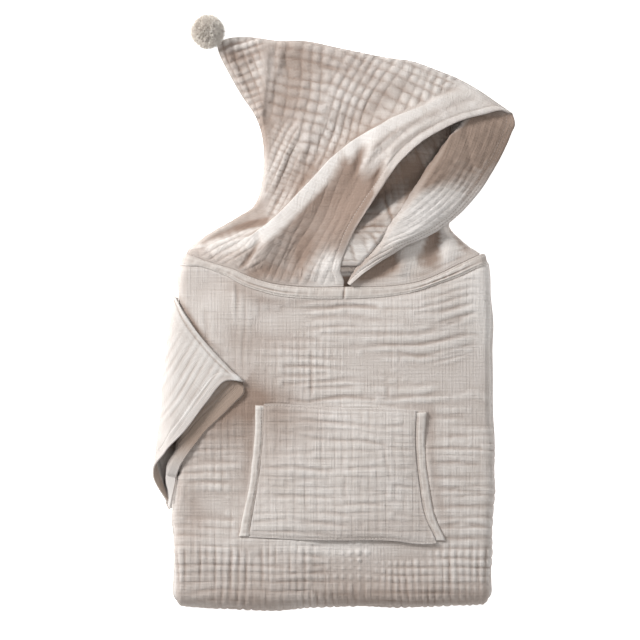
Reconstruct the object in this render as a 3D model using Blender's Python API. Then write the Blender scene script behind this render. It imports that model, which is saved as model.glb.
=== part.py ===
"""Hooded bath poncho, folded flat and lying on a surface.

Plan positions in the tables are millimetres on a layout grid, x to the right and y down;
`place` turns them into metres in the model frame (+X right, +Y towards the hood, +Z up).
"""
import bpy
import bmesh
import math
import random
import numpy as np

# ---- driving dimensions, mm ----
CLOTH = 1.8            # wall of one cloth layer
GAP = 0.3              # clearance between neighbouring pieces
PACK = 34.0            # height of the folded body
SIDE_ROLL = 8.5        # radius of the front's roll at the sides
FOOT_ROLL = 16.4       # radius of the fold at the bottom
SHOULDER_REACH = 10.0  # how far the roll reaches past the shoulder corner
NECK_LOBE = 8.0        # roundness of the hidden layers' end at the neck
ROLL_END = 150.0       # degrees the front rolls before its edge is tucked in
BELLY = 2.4            # rise of the front's middle
BAND_THICK = 2.6       # neck band
BAND_PROUD = 0.9       # how far the band stands above the front
POCKET_BELLY = 2.2     # how far the pocket's middle lifts
BINDING_PROUD = 1.0    # binding above the pocket
POMPOM_RADIUS = 16.0
POMPOM_CORE = 10.0
GRID_X = 334.0         # layout grid position of the model's origin
GRID_Y = 312.5

# ---- outline of the folded body: x of the left and right edges by y, y of the bottom by x ----
BODY_LEFT = ((248, 188), (264, 182), (276, 179.3), (290, 178.8), (310, 180), (360, 179.4),
             (440, 179), (480, 177), (505, 173.6), (518, 172.4), (532, 174), (560, 175), (590, 174.2))
BODY_RIGHT = ((255, 486), (264, 487.3), (276, 489), (300, 490.3), (324, 492), (348, 491), (372, 491.3),
              (420, 492), (445, 494), (468, 493), (492, 493), (516, 491), (550, 490.2), (590, 491))
BODY_FOOT = ((174, 607), (200, 608.8), (250, 609.8), (285, 608.8), (305, 606.8), (360, 606),
             (420, 606.5), (460, 606), (491, 605.2))
NECK_LOWER = ((178, 265.2), (184, 265.6), (190, 265.8), (198, 266), (207, 268), (217, 272), (229, 277), (237, 282),
              (249, 287.5), (260, 291), (280, 296), (300, 298), (345, 298.6), (390, 296), (410, 292.6),
              (440, 283), (460, 276), (477, 268), (490, 263))
NECK_UPPER = ((183, 253.2), (194, 256.6), (205, 260.8), (220, 265.4), (235, 270), (245, 274.6),
              (256, 279), (270, 283), (300, 286.8), (345, 287), (400, 285.2), (420, 281.6), (445, 271.4),
              (460, 264), (474, 257.6), (482, 254))
BACK_NECK = ((186, 254), (220, 258.5), (262, 263.5), (300, 266), (345, 266.8), (390, 266), (430, 262),
             (460, 257.6), (478, 253.6))
LAYERS_END = ((170, 266), (190, 266.4), (240, 272.6), (300, 276), (345, 277), (400, 275.6), (440, 272),
              (480, 268), (500, 267))

# ---- hood: edges by row, rows 0 (neck) to 10 (top) ----
BACK_SEAM = ((0, 186, 254, 22), (0.6, 188, 250, 16), (1, 191, 247, 12.5), (1.6, 199, 241, 9),
             (2.2, 214, 230.5, 7), (2.8, 235, 219, 5.5), (3.4, 251, 209.5, 4), (4, 257.5, 199, 3),
             (5, 262.5, 178, 2.6), (6, 264, 157, 2.5), (7, 260.5, 130, 2.5), (7.6, 254, 114, 2.5),
             (8.2, 243, 98, 3.2), (9, 229, 74, 6.5), (9.6, 219.6, 55, 9.5), (10, 216.6, 43.6, 11))
TOP_SEAM = ((0, 216.6, 43.6, 11), (0.05, 227, 38.6, 9), (0.12, 249, 37, 6), (0.2, 278, 40.6, 4),
            (0.28, 305, 41, 3), (0.38, 340, 48, 3), (0.5, 384, 57, 3.4), (0.6, 414, 61.6, 4.2),
            (0.68, 436, 69.6, 5.6), (0.76, 459, 79, 8), (0.84, 479, 90.6, 11), (0.92, 497, 103, 15.5),
            (1, 512.5, 113.4, 20))
NEAR_RIM = ((0, 343.4, 286.6, 38), (0.6, 341.5, 274, 41), (1.2, 342.5, 260, 44), (2, 348, 246, 46.5),
            (3, 353.5, 233, 48.5), (4, 361, 218, 50), (5, 372.5, 197.5, 51), (5.6, 380, 186, 51),
            (6.2, 386, 174, 50.4), (7, 400, 155, 48), (7.7, 416, 138, 45), (8.3, 436, 128, 41.5),
            (9, 463, 119, 37), (9.5, 484, 114.6, 31), (9.8, 502, 110.4, 25.6), (10, 512.5, 113.4, 21.9))
FAR_RIM = ((0, 350, 285.2, 41.4), (0.5, 353.8, 277, 41.6), (1, 359.6, 269.4, 42.2), (1.5, 368.4, 262.6, 43),
           (2, 380.4, 255.4, 43.8), (2.5, 392.4, 250.6, 44.4), (3, 405, 245.8, 44.4), (3.5, 419, 240.2, 43.8),
           (4, 433, 233.4, 42), (4.5, 447, 224.4, 39.4), (5, 458.4, 215, 36.6), (6, 478, 193.4, 31.6),
           (7, 492, 172.4, 28), (8, 504, 150.4, 25.4), (9, 511.5, 133, 23), (9.6, 515, 123, 21.6),
           (10, 512.5, 113.4, 19))
# the lapel's ridge: where the right panel folds back, with the heights under and over the fold
RIDGE = ((0, 347.6, 283.4, 37.0, 40.2), (0.5, 351.4, 275.4, 36.6, 40.6), (1, 356.8, 267.6, 35.8, 41.6),
         (1.5, 363, 260.4, 34.8, 44), (2, 370.5, 252, 33.6, 46.6),
         (3, 381.5, 238, 33, 48.8), (4, 391.5, 222.6, 32, 50), (5, 403.6, 206, 31, 50.2),
         (6, 414.6, 188.6, 29, 48), (7, 426, 170, 26, 44.4), (8, 441.5, 149, 21, 39),
         (9, 458.4, 122.6, 14, 31), (10, 468, 84.4, 6, 9))
# the base fold at the right, with the heights under and over it
BASE_FOLD = ((0, 479, 253.6, 20, 31), (1, 464, 243, 11, 30), (2, 450, 229.6, 4, 27),
             (3, 449, 218, 1.8, 23.6), (4, 449, 207.6, 1.2, 22), (5, 449, 196.6, 1.2, 21),
             (6, 450, 184.6, 1.2, 19.6), (7, 452, 169, 1.2, 17.6), (8, 455, 152, 1.2, 14),
             (9, 446, 127, 1.2, 6), (10, 444, 73, 5, 6.6))
FLOOR_RISE = ((0, 22.4), (0.5, 17.6), (1, 11.4), (1.5, 6.8), (2, 3.4), (2.6, 1.6), (3.2, 1.2), (10, 1.2))
# height of the left panel before its ridges: row, then columns from the back seam to the near rim
HOOD_COLUMNS = (0.0, 0.05, 0.25, 0.5, 0.75, 1.0)
HOOD_RISE = ((0, 24.0, 28.0, 33.5, 36.4, 37.4, 38.0),
             (1, 14.5, 20.0, 30.0, 35.0, 38.6, 42.6),
             (2, 9.0, 15.0, 26.0, 34.0, 41.4, 46.5),
             (3, 7.0, 12.0, 23.0, 33.4, 43.0, 48.6),
             (4, 5.0, 10.0, 20.0, 31.6, 43.6, 50.0),
             (5, 4.6, 9.4, 19.0, 29.6, 42.6, 51.0),
             (6, 4.5, 9.2, 19.0, 28.4, 40.0, 50.6),
             (7, 4.5, 9.0, 18.6, 26.8, 36.6, 48.0),
             (8, 5.0, 9.0, 17.0, 24.6, 32.6, 43.4),
             (9, 8.5, 11.0, 14.6, 20.0, 27.0, 36.6),
             (9.6, 11.5, 13.4, 13.0, 15.0, 20.0, 29.0),
             (10, 13.0, 11.0, 5.4, 5.4, 9.6, 21.9))
# ridges and folds laid by hand: points (x, y, height), reach on the near side and the far side
HOOD_RIDGES = (
    ("crest", ((236, 239, 1.4), (252, 235, 3.2), (268, 225, 5.6), (284, 211, 7.2), (300, 193, 8.4),
               (322, 172, 9.0), (348, 145, 9.4), (372, 130, 9.4), (398, 116, 8.4), (428, 102.4, 6.6),
               (452, 89, 3.6), (466, 82, 1.4)), 5.6, 20.0),
    ("shoulder fold", ((196, 242, 1.6), (214, 239.4, 3.0), (236, 238, 3.4), (254, 235, 2.0)), 4.6, 9.0),
    ("tail fold", ((270, 48, 1.0), (266, 70, 2.6), (263, 92, 3.0), (260, 112, 1.4)), 5.0, 7.0),
    ("base fold", ((262, 262, 1.4), (268, 244, 2.6), (280, 228, 1.6)), 5.0, 8.0),
    ("band trough", ((322, 262, -0.8), (332, 226, -2.6), (352, 184, -3.2), (374, 156, -1.8)), 10.0, 12.0),
)
# main creases of the front: points (x, y, height), reach
BODY_CREASES = (
    (((262, 305, 0.4), (300, 307, 1.2), (350, 305, 1.4), (400, 304, 1.0), (440, 297, 0.4)), 7.0),
    (((270, 317, -0.3), (310, 320, -0.6), (352, 319, -0.5)), 7.0),
    (((276, 338, 0.5), (320, 341, 1.3), (372, 336, 0.9)), 9.0),
    (((280, 372, 0.4), (330, 368, 1.1), (400, 372, 1.2), (452, 364, 0.5)), 9.0),
    (((268, 391, -0.3), (320, 389, -0.6), (388, 392, -0.5)), 8.0),
    (((446, 330, 0.4), (462, 372, 1.2), (464, 430, 1.0), (458, 470, 0.4)), 10.0),
    (((262, 556, 0.4), (340, 560, 1.2), (420, 556, 0.8)), 9.0),
)

# ---- sleeve: columns across it, from its upper fold to its lower edge; a row per section ----
SLEEVE_ACROSS = (0.0, 0.12, 0.3, 0.5, 0.7, 0.86, 1.0)
SLEEVE_OVER = (
    ("root", ((174, 298, 9), (173.4, 320, 5), (172.6, 346, 3.8), (172, 380, 3.4), (171.6, 414, 3.4),
              (170.8, 446, 3.6), (169.8, 473, 5))),
    ("side", ((173.6, 296.6, 19), (170, 319, 17), (166.2, 346, 16), (163, 381, 15), (160.6, 416, 14),
              (157.4, 449, 13), (163.2, 481, 11))),
    ("shoulder", ((175, 296, 31), (171, 322, 32), (166.8, 351, 31), (162.9, 385, 29), (159.8, 421, 26),
                  (155.6, 454, 21), (162.6, 487, 15))),
    ("top", ((182.6, 305, 38.8), (180, 330, 39.6), (173, 361, 39), (167.6, 395, 37.6), (161.6, 431, 33),
             (154.6, 461, 26), (164.2, 494, 18))),
    ("middle", ((212, 345, 39.6), (202, 356, 42.4), (188, 381, 43), (175, 411, 42), (165, 441, 38),
                (153.4, 467, 28.6), (166.8, 501, 20.6))),
    ("mouth", ((243, 382, 40.4), (226, 380.4, 44.6), (206, 402, 45.6), (185, 430, 44), (164, 452.4, 40),
               (152.2, 475, 29), (170.4, 508.6, 22.6))),
)
SLEEVE_UNDER_MOUTH = ((0.0, 243.6, 385), (0.08, 243.6, 392.6), (0.2, 233.6, 403.4), (0.3, 222, 415),
                      (0.45, 206, 430), (0.58, 195.6, 443), (0.7, 184, 459), (0.8, 177.4, 474),
                      (0.9, 173.4, 489), (1.0, 172.4, 508))
# where that layer crosses the body's shoulder roll: how far down the roll, and y
SLEEVE_UNDER_TOP = ((0.0, 0.5, 307), (0.12, 0.3, 332), (0.3, 0.0, 368), (0.5, 1.0, 412),
                    (0.7, 7.5, 450), (0.86, 15.6, 475), (1.0, 18.6, 497))

# ---- pocket ----
POCKET_TOP = ((250, 405), (275, 403.4), (300, 405), (345, 407.6), (381, 408), (407, 409.6), (430, 411.6))
POCKET_FOOT = ((238, 537), (262, 538), (287, 539.6), (340, 541), (389, 541), (427, 544.4), (447, 542))
BINDING_LEFT = ((405, 255, 263.4), (431, 254.4, 263.2), (458, 252, 261), (490, 248, 256.8),
                (512, 243.2, 252.8), (537.6, 238, 248.6))
BINDING_RIGHT = ((411.6, 416.6, 427), (439, 415.6, 425.2), (462, 417, 426.4), (490, 420.4, 430.2),
                 (515, 425, 435), (541.6, 437, 446.4))
POMPOM_PLACE = (207.8, 31.8, 16.9)


# ---- curves and surfaces ----
def hermite(table, t, tight=False):
    """Smooth value of a table (t, a, b, ...) at t; tight keeps it from swinging past its rows."""
    rows = np.asarray(table, float)
    ts, values = rows[:, 0], rows[:, 1:]
    slope = np.gradient(values, ts, axis=0)
    if tight:
        rise = np.diff(values, axis=0) / np.diff(ts)[:, None]
        a, b = rise[:-1], rise[1:]
        same = a * b > 0
        slope[1:-1] = np.where(same, 2 * a * b / np.where(same, a + b, 1.0), 0.0)
    t = float(min(max(t, ts[0]), ts[-1]))
    i = int(min(max(np.searchsorted(ts, t, side="right") - 1, 0), len(ts) - 2))
    h = ts[i + 1] - ts[i]
    s = (t - ts[i]) / h
    return ((2 * s**3 - 3 * s**2 + 1) * values[i] + (s**3 - 2 * s**2 + s) * h * slope[i]
            + (3 * s**2 - 2 * s**3) * values[i + 1] + (s**3 - s**2) * h * slope[i + 1])


def smooth(t):
    t = min(max(t, 0.0), 1.0)
    return t * t * (3 - 2 * t)


def neck_lower(x):
    """The band's lower seam: straight between the stations the front and the band share."""
    stations = [190.4 + (479.2 - 190.4) * i / 20 for i in range(21)]
    stations = [178.0, 184.0] + stations + [488.0]
    return float(np.interp(x, stations, [hermite(NECK_LOWER, a)[0] for a in stations]))


def place(p):
    return ((p[0] - GRID_X) * 0.001, (GRID_Y - p[1]) * 0.001, p[2] * 0.001)


def line_relief(lines, x, y):
    """Height of hand-laid ridges: each fades to its own reach on either side."""
    total = 0.0
    for points, near, far in lines:
        best = None
        for (ax, ay, ah), (bx, by, bh) in zip(points[:-1], points[1:]):
            dx, dy = bx - ax, by - ay
            t = min(max(((x - ax) * dx + (y - ay) * dy) / (dx * dx + dy * dy), 0.0), 1.0)
            ox, oy = x - ax - t * dx, y - ay - t * dy
            d = math.hypot(ox, oy)
            if best is None or d < best[0]:
                side = dx * oy - dy * ox
                best = (d, ah + (bh - ah) * t, side)
        reach = far if best[2] > 0 else near
        total += best[1] * math.exp(-(best[0] / reach) ** 2)
    return total


def plate_left(y):
    return hermite(BODY_LEFT, y)[0] + SIDE_ROLL


def plate_right(y):
    return hermite(BODY_RIGHT, y)[0] - SIDE_ROLL


def plate_foot(x):
    return hermite(BODY_FOOT, x)[0] - FOOT_ROLL


def top_height(x, y):
    """Outer height of the plain front, rolls included."""
    left, right, foot = plate_left(y), plate_right(y), plate_foot(x)
    s = min(max((x - left) / (right - left), 0.0), 1.0)
    t = min(max((y - 264.0) / (foot - 264.0), 0.0), 1.0)
    rise = BELLY * (1 - (2 * s - 1) ** 4) * min(1.0, (1 - t) * 6)
    z = PACK + rise
    over = max(left - x, x - right, 0.0)
    if over > 0:
        z = PACK - SIDE_ROLL + math.sqrt(max(SIDE_ROLL**2 - over**2, 0.0))
    return z


def top_normal(x, y):
    e = 0.5
    gx = (top_height(x + e, y) - top_height(x - e, y)) / (2 * e)
    gy = (top_height(x, y + e) - top_height(x, y - e)) / (2 * e)
    n = np.array([-gx, -gy, 1.0])
    return n / np.linalg.norm(n)


def under_cover(x, y):
    """1 where the pocket or the sleeve lies on the front, fading out round them."""
    pocket = smooth((min(x - 232, 452 - x, y - 398, 548 - y) + 8) / 8)
    along = ((x - 243) * -0.49 + (y - 382) * 0.87)
    sleeve = smooth((250 - x) / 12) * smooth((515 - y) / 12) if along > -40 or x < 215 else 0.0
    neck = smooth((neck_lower(x) + 12 - y) / 8)
    return max(pocket, sleeve, neck)


# ---- solids ----
def add_object(name, verts, faces, colour, rough=0.95):
    """One closed body: shared corners merged, faces out, triangles only."""
    index, used, remap = {}, [], []
    for v in verts:
        p = place(v)
        key = (round(p[0], 8), round(p[1], 8), round(p[2], 8))
        if key not in index:
            index[key] = len(used)
            used.append(p)
        remap.append(index[key])
    clean = []
    for f in faces:
        g = [remap[i] for i in f]
        g = [a for k, a in enumerate(g) if a != g[k - 1]]
        if len(set(g)) >= 3:
            clean.append(g)
    mesh = bpy.data.meshes.new(name)
    mesh.from_pydata(used, [], clean)
    bm = bmesh.new()
    bm.from_mesh(mesh)
    bmesh.ops.delete(bm, geom=[v for v in bm.verts if not v.link_faces], context="VERTS")
    bmesh.ops.triangulate(bm, faces=bm.faces[:], quad_method="SHORT_EDGE")
    bmesh.ops.recalc_face_normals(bm, faces=bm.faces[:])
    if bm.calc_volume(signed=True) < 0:
        bmesh.ops.reverse_faces(bm, faces=bm.faces[:])
    bm.to_mesh(mesh)
    bm.free()
    mat = bpy.data.materials.new(name + "_cloth")
    mat.use_nodes = True
    shader = mat.node_tree.nodes["Principled BSDF"]
    shader.inputs["Base Color"].default_value = (*colour, 1)
    shader.inputs["Roughness"].default_value = rough
    mesh.materials.append(mat)
    obj = bpy.data.objects.new(name, mesh)
    bpy.context.scene.collection.objects.link(obj)
    return obj


def grid_faces(rows, cols, start=0, wrap=False):
    faces = []
    for j in range(rows - 1):
        for i in range(cols if wrap else cols - 1):
            k = (i + 1) % cols
            faces.append((start + j * cols + i, start + j * cols + k,
                          start + (j + 1) * cols + k, start + (j + 1) * cols + i))
    return faces


def grid_normals(grid):
    du = np.gradient(grid, axis=1)
    dv = np.gradient(grid, axis=0)
    n = np.cross(du, dv)
    return n / np.maximum(np.linalg.norm(n, axis=2, keepdims=True), 1e-9)


def sheet_solid(name, outer, inner, colour):
    """A wall between two grids of the same shape, closed round its rim."""
    rows, cols = outer.shape[:2]
    verts = [tuple(p) for p in outer.reshape(-1, 3)] + [tuple(p) for p in inner.reshape(-1, 3)]
    count = rows * cols
    faces = grid_faces(rows, cols) + [tuple(reversed(f)) for f in grid_faces(rows, cols, count)]
    rim = ([(0, i) for i in range(cols)] + [(j, cols - 1) for j in range(1, rows)]
           + [(rows - 1, i) for i in range(cols - 2, -1, -1)] + [(j, 0) for j in range(rows - 2, 0, -1)])
    for a, b in zip(rim, rim[1:] + rim[:1]):
        ia, ib = a[0] * cols + a[1], b[0] * cols + b[1]
        faces.append((ia, ia + count, ib + count, ib))
    return add_object(name, verts, faces, colour)


# ---- front: a plate whose three sides roll over ----
def body_columns(end_lobe):
    """Round the body: plate point, reach vector in plan, roll radius and whether it is a corner."""
    columns = []
    top_right = plate_right(267.6), 267.6
    rows = 20
    foot_l = (plate_left(592), plate_foot(plate_left(592)))
    foot_r = (plate_right(592), plate_foot(plate_right(592)))
    start = neck_lower(plate_left(267)) + GAP
    for j in range(rows):
        y = start + (foot_l[1] - start) * j / rows
        columns.append(((plate_left(y), y), (-SIDE_ROLL, 0.0), SIDE_ROLL))
    for k in range(6):
        a = math.pi / 2 * k / 5
        r = SIDE_ROLL + (FOOT_ROLL - SIDE_ROLL) * math.sin(a) ** 2
        columns.append((foot_l, (-SIDE_ROLL * math.cos(a), FOOT_ROLL * math.sin(a)), r))
    for i in range(1, 20):
        x = foot_l[0] + (foot_r[0] - foot_l[0]) * i / 20
        columns.append(((x, plate_foot(x)), (0.0, FOOT_ROLL), FOOT_ROLL))
    for k in range(6):
        a = math.pi / 2 * (1 - k / 5)
        r = SIDE_ROLL + (FOOT_ROLL - SIDE_ROLL) * math.sin(a) ** 2
        columns.append((foot_r, (SIDE_ROLL * math.cos(a), FOOT_ROLL * math.sin(a)), r))
    for j in range(rows - 1, -1, -1):
        y = top_right[1] + (foot_r[1] - top_right[1]) * j / rows
        columns.append(((plate_right(y), y), (SIDE_ROLL, 0.0), SIDE_ROLL))
    for k in range(1, 5):
        a = math.pi / 2 * k / 4
        if not end_lobe and k == 4:
            break
        reach = NECK_LOBE if end_lobe else SHOULDER_REACH
        columns.append((top_right, (SIDE_ROLL * math.cos(a), -reach * math.sin(a)), SIDE_ROLL))
    if end_lobe:
        left = (plate_left(start), start)
        for i in range(1, 20):
            x = top_right[0] + (left[0] - top_right[0]) * i / 20
            columns.append(((x, hermite(LAYERS_END, x)[0]), (0.0, -NECK_LOBE), SIDE_ROLL))
        for k in range(4):
            a = math.pi / 2 * (1 - k / 4)
            columns.append((left, (-SIDE_ROLL * math.cos(a), -NECK_LOBE * math.sin(a)), SIDE_ROLL))
    return columns


def build_front():
    columns = body_columns(False)
    nx, ny = 20, 20
    left_points = [c[0] for c in columns[:20]] + [columns[20][0]]
    foot_points = [columns[20][0]] + [c[0] for c in columns[26:45]] + [columns[45][0]]
    right_points = [columns[45][0]] + [c[0] for c in columns[51:71]]
    right_points = right_points[::-1]
    top_points = []
    for i in range(nx + 1):
        x = left_points[0][0] + (right_points[0][0] - left_points[0][0]) * i / nx
        top_points.append((x, neck_lower(x) + GAP))
    top_points[0], top_points[-1] = left_points[0], right_points[0]
    plate = np.zeros((ny + 1, nx + 1, 2))
    for j in range(ny + 1):
        for i in range(nx + 1):
            s, t = i / nx, j / ny
            p = ((1 - t) * np.array(top_points[i]) + t * np.array(foot_points[i])
                 + (1 - s) * np.array(left_points[j]) + s * np.array(right_points[j])
                 - (1 - s) * (1 - t) * np.array(top_points[0]) - s * (1 - t) * np.array(top_points[-1])
                 - (1 - s) * t * np.array(foot_points[0]) - s * t * np.array(foot_points[-1]))
            plate[j, i] = p
    angles = [math.radians(ROLL_END * a / 6) for a in range(7)]
    verts, faces = [], []
    for layer, inset in ((0, 0.0), (1, CLOTH)):
        base = len(verts)
        for j in range(ny + 1):
            for i in range(nx + 1):
                x, y = plate[j, i]
                z = top_height(x, y) - inset
                edge = i in (0, nx) or j == ny
                if layer == 0 and not edge:
                    z += line_relief([(p, r, r) for p, r in BODY_CREASES], x, y) * (1 - under_cover(x, y))
                if edge:
                    z = PACK - inset
                verts.append((x, y, z))
        grid = grid_faces(ny + 1, nx + 1, base)
        faces += grid if layer == 0 else [tuple(reversed(f)) for f in grid]
        base = len(verts)
        for (bx, by), (dx, dy), r in columns:
            reach = math.hypot(dx, dy)
            k = (reach - inset) / reach
            for a in angles:
                verts.append((bx + dx * k * math.sin(a), by + dy * k * math.sin(a),
                              PACK - r + (r - inset) * math.cos(a)))
        grid = grid_faces(len(columns), len(angles), base)
        faces += grid if layer == 0 else [tuple(reversed(f)) for f in grid]
    plate_count = (nx + 1) * (ny + 1)
    skirt_count = len(columns) * len(angles)
    half = plate_count + skirt_count

    def join(a, b):
        faces.append((a, a + half, b + half, b))
    for i in range(nx):
        join(i, i + 1)
    for c in range(len(columns) - 1):
        a = plate_count + c * len(angles) + len(angles) - 1
        join(a, a + len(angles))
    for c in (0, len(columns) - 1):
        for k in range(len(angles) - 1):
            a = plate_count + c * len(angles) + k
            join(a, a + 1)
    return add_object("front", verts, faces, (0.68, 0.61, 0.55))


def build_layers():
    """Everything folded in behind the front: two lobes at the sides, the table face flat."""
    columns = body_columns(True)
    rings = []
    count = len(columns)
    inset = CLOTH + GAP
    for c, ((bx, by), (dx, dy), r) in enumerate(columns):
        reach = math.hypot(dx, dy)
        k = (reach - inset) / reach
        ring = []
        for a in range(7):
            a = math.radians(ROLL_END * a / 6)
            ring.append((bx + dx * k * math.sin(a), by + dy * k * math.sin(a),
                         PACK - r + (r - inset) * math.cos(a)))
        ux, uy = dx / reach, dy / reach
        end = math.radians(ROLL_END)
        slot = reach * math.sin(end) - inset
        ring.append((bx + ux * slot, by + uy * slot, ring[-1][2]))
        lobe = (PACK - r + r * math.cos(end) - GAP - 0.1) / 2
        foot = (r - SIDE_ROLL) / (FOOT_ROLL - SIDE_ROLL)
        spread = (reach - slot) * (1 - foot) + 3.2 * foot
        for a in (0, 30, 60, 90, 120, 150, 180):
            a = math.radians(a)
            p = slot + spread * math.sin(a)
            ring.append((bx + ux * p, by + uy * p, lobe + lobe * math.cos(a)))
        rings.append(ring)
    depth = len(rings[0])
    verts = [p for ring in rings for p in ring]
    faces = []
    for c in range(count):
        n = (c + 1) % count
        for k in range(depth - 1):
            faces.append((c * depth + k, n * depth + k, n * depth + k + 1, c * depth + k + 1))
    faces.append(tuple(c * depth for c in range(count)))
    faces.append(tuple(c * depth + depth - 1 for c in reversed(range(count))))
    return add_object("folded_layers", verts, faces, (0.60, 0.53, 0.47))


def build_band():
    across = (0.0, 0.12, 0.5, 0.88, 1.0)
    outer, inner = [], []
    stations = [183.6, 184.6, 186.0, 188.0] + [190.4 + 14.44 * i / 2 for i in range(40)] + [478.4]
    for xl in stations:
        s = (xl - stations[0]) / (stations[-1] - stations[0])
        xu = 187.2 + (478.0 - 187.2) * s
        lower = np.array([xl, neck_lower(xl)])
        upper = np.array([xu, hermite(NECK_UPPER, xu)[0]])
        row_o, row_i = [], []
        for a in across:
            x, y = lower + (upper - lower) * a
            proud = BAND_PROUD * (0.45 if a in (0.0, 1.0) else 1.0)
            proud -= 0.5 if abs(x - 344) < 4 and 0 < a < 1 else 0.0
            p = np.array([x, y, top_height(x, y)])
            n = top_normal(x, y)
            row_o.append(p + n * proud)
            row_i.append(p - n * (BAND_THICK - BAND_PROUD))
        outer.append(row_o)
        inner.append(row_i)
    return sheet_solid("neck_band", np.array(outer), np.array(inner), (0.66, 0.59, 0.53))


# ---- hood ----
def neck_height(x, y):
    return top_height(x, y) + BAND_PROUD * 0.5


def neck_seat(x, lift):
    """A point of the neck seam, on the hood's side of the band."""
    y = hermite(NECK_UPPER, x)[0] - GAP - 0.15
    return np.array([x, y, neck_height(x, y) + lift])


def hood_left_plan(u, v):
    bottom = neck_seat(186.4 + (343.4 - 186.4) * u, 0)[:2]
    b0, b1 = neck_seat(186.4, 0)[:2], neck_seat(343.4, 0)[:2]
    top, left, right = hermite(TOP_SEAM, u)[:2], hermite(BACK_SEAM, v)[:2], hermite(NEAR_RIM, v)[:2]
    t0, t1 = hermite(TOP_SEAM, 0)[:2], hermite(TOP_SEAM, 1)[:2]
    left = left + (b0 - hermite(BACK_SEAM, 0)[:2]) * (1 - smooth(v))
    right = right + (b1 - hermite(NEAR_RIM, 0)[:2]) * (1 - smooth(v))
    w = v / 10
    return ((1 - w) * bottom + w * top + (1 - u) * left + u * right
            - (1 - u) * (1 - w) * b0 - u * (1 - w) * b1 - (1 - u) * w * t0 - u * w * t1)


def hood_left_point(u, v, relief=True):
    x, y = hood_left_plan(u, v)
    columns = hermite(HOOD_RISE, v)
    z = hermite(list(zip(HOOD_COLUMNS, columns)), u)[0]
    if relief:
        fade = smooth(u / 0.06) * smooth((1 - u) / 0.05) * smooth(v / 0.8) * smooth((10 - v) / 0.5)
        z += line_relief([(p, n, f) for _, p, n, f in HOOD_RIDGES], x, y) * fade
    seat = smooth(1 - v / 0.9)
    if seat > 0:
        z = z + (neck_height(x, y) - z) * seat if v > 0 else neck_height(x, y)
    over = hermite(BACK_SEAM, v)[2] + GAP / 2 + CLOTH
    if v > 0.01:
        z += (over - z) * (1 - smooth(u / 0.02)) * smooth(v / 0.4)
    top = hermite(TOP_SEAM, u)[2] + GAP / 2 + CLOTH
    z += (top - z) * smooth((v - 9.86) / 0.13)
    return np.array([x, y, z])


def build_hood_left():
    us = [0, .02, .05, .09, .14, .19, .25, .31, .37, .43, .49, .55, .6, .65, .7, .75, .8, .85, .9, .95, 1]
    vs = [0, .25, .6, 1, 1.4, 1.8, 2.2, 2.7, 3.2, 3.7, 4.2, 4.7, 5.2, 5.7, 6.2, 6.7, 7.2, 7.6, 8, 8.5, 9, 9.4, 9.7, 9.88, 10]
    outer = np.array([[hood_left_point(u, v) for u in us] for v in vs])
    n = grid_normals(outer)
    n *= np.sign(n[..., 2:3])
    inner = outer - n * CLOTH
    for j in range(len(vs)):
        for i in range(len(us)):
            if i == 0 or j == len(vs) - 1 or j == 0:
                inner[j, i] = outer[j, i] - np.array([0, 0, CLOTH])
    return sheet_solid("hood_left", outer, inner, (0.67, 0.60, 0.54))


HOOD_KNOTS = ("seam", 0.0), ("inside", 0.03), ("floor", 0.31), ("base fold", 0.39), ("base", 0.53), \
    ("ridge", 0.67), ("lapel", 0.86), ("rim", 1.0)


def hood_right_section(u, v):
    """A Z in section: floor, base fold, base, ridge, lapel, rim."""
    seam = hermite(BACK_SEAM, v)
    fold, ridge, rim = hermite(BASE_FOLD, v), hermite(RIDGE, v), hermite(FAR_RIM, v)
    floor = hermite(FLOOR_RISE, v)[0]
    e = rim[:2] - ridge[:2]
    e = e / np.linalg.norm(e)
    ef = fold[:2] - ridge[:2]
    ef = ef / max(np.linalg.norm(ef), 1e-6)
    ef = ef + (e - ef) * smooth((v - 2) / 4)
    ef = ef / np.linalg.norm(ef)
    depth = float(np.dot(fold[:2] - ridge[:2], ef))
    k = min(max(depth / 22, -1.0), 1.0)
    rf = min((fold[3] - fold[2]) / 2, 7.0)
    rr = min((ridge[3] - ridge[2]) / 2, 6.0, np.linalg.norm(rim[:2] - ridge[:2]) * 0.36)
    under_seam = seam[2] - GAP / 2 - CLOTH / 2
    start = np.array([seam[0], seam[1]])
    low = fold[:2] - ef * rf * abs(k)
    keys = [(0.0, seam[0], seam[1], under_seam)]
    for t, knot in ((0.05, 0.03), (0.25, 0.1), (0.5, 0.18), (0.75, 0.26)):
        p = start + (low - start) * t
        rise = floor + (under_seam - floor) * (1 - smooth(t / 0.25))
        keys.append((knot, p[0], p[1], rise + (fold[2] - floor) * smooth((t - 0.6) / 0.4)))
    keys.append((0.34, low[0], low[1], fold[2]))
    keys.append((0.39, fold[0], fold[1], (fold[2] + fold[3]) / 2))
    p = fold[:2] - ef * rf * k
    keys.append((0.44, p[0], p[1], fold[3]))
    q = ridge[:2] + e * rr * k
    m = (p + q) / 2
    keys.append((0.53, m[0], m[1], (fold[3] + ridge[2]) / 2 + 1.2 * max(k, 0)))
    keys.append((0.62, q[0], q[1], ridge[2]))
    keys.append((0.67, ridge[0], ridge[1], (ridge[2] + ridge[3]) / 2))
    q = ridge[:2] + e * rr * abs(k)
    keys.append((0.72, q[0], q[1], ridge[3]))
    m = (q + rim[:2]) / 2
    keys.append((0.86, m[0], m[1], (ridge[3] + rim[2]) / 2 + 1.6 * smooth((v - 1) / 2)))
    keys.append((1.0, rim[0], rim[1], rim[2]))
    p = hermite(keys, u, True)
    p[2] = max(p[2], FLOOR_RISE[-1][1])
    return p


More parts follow.
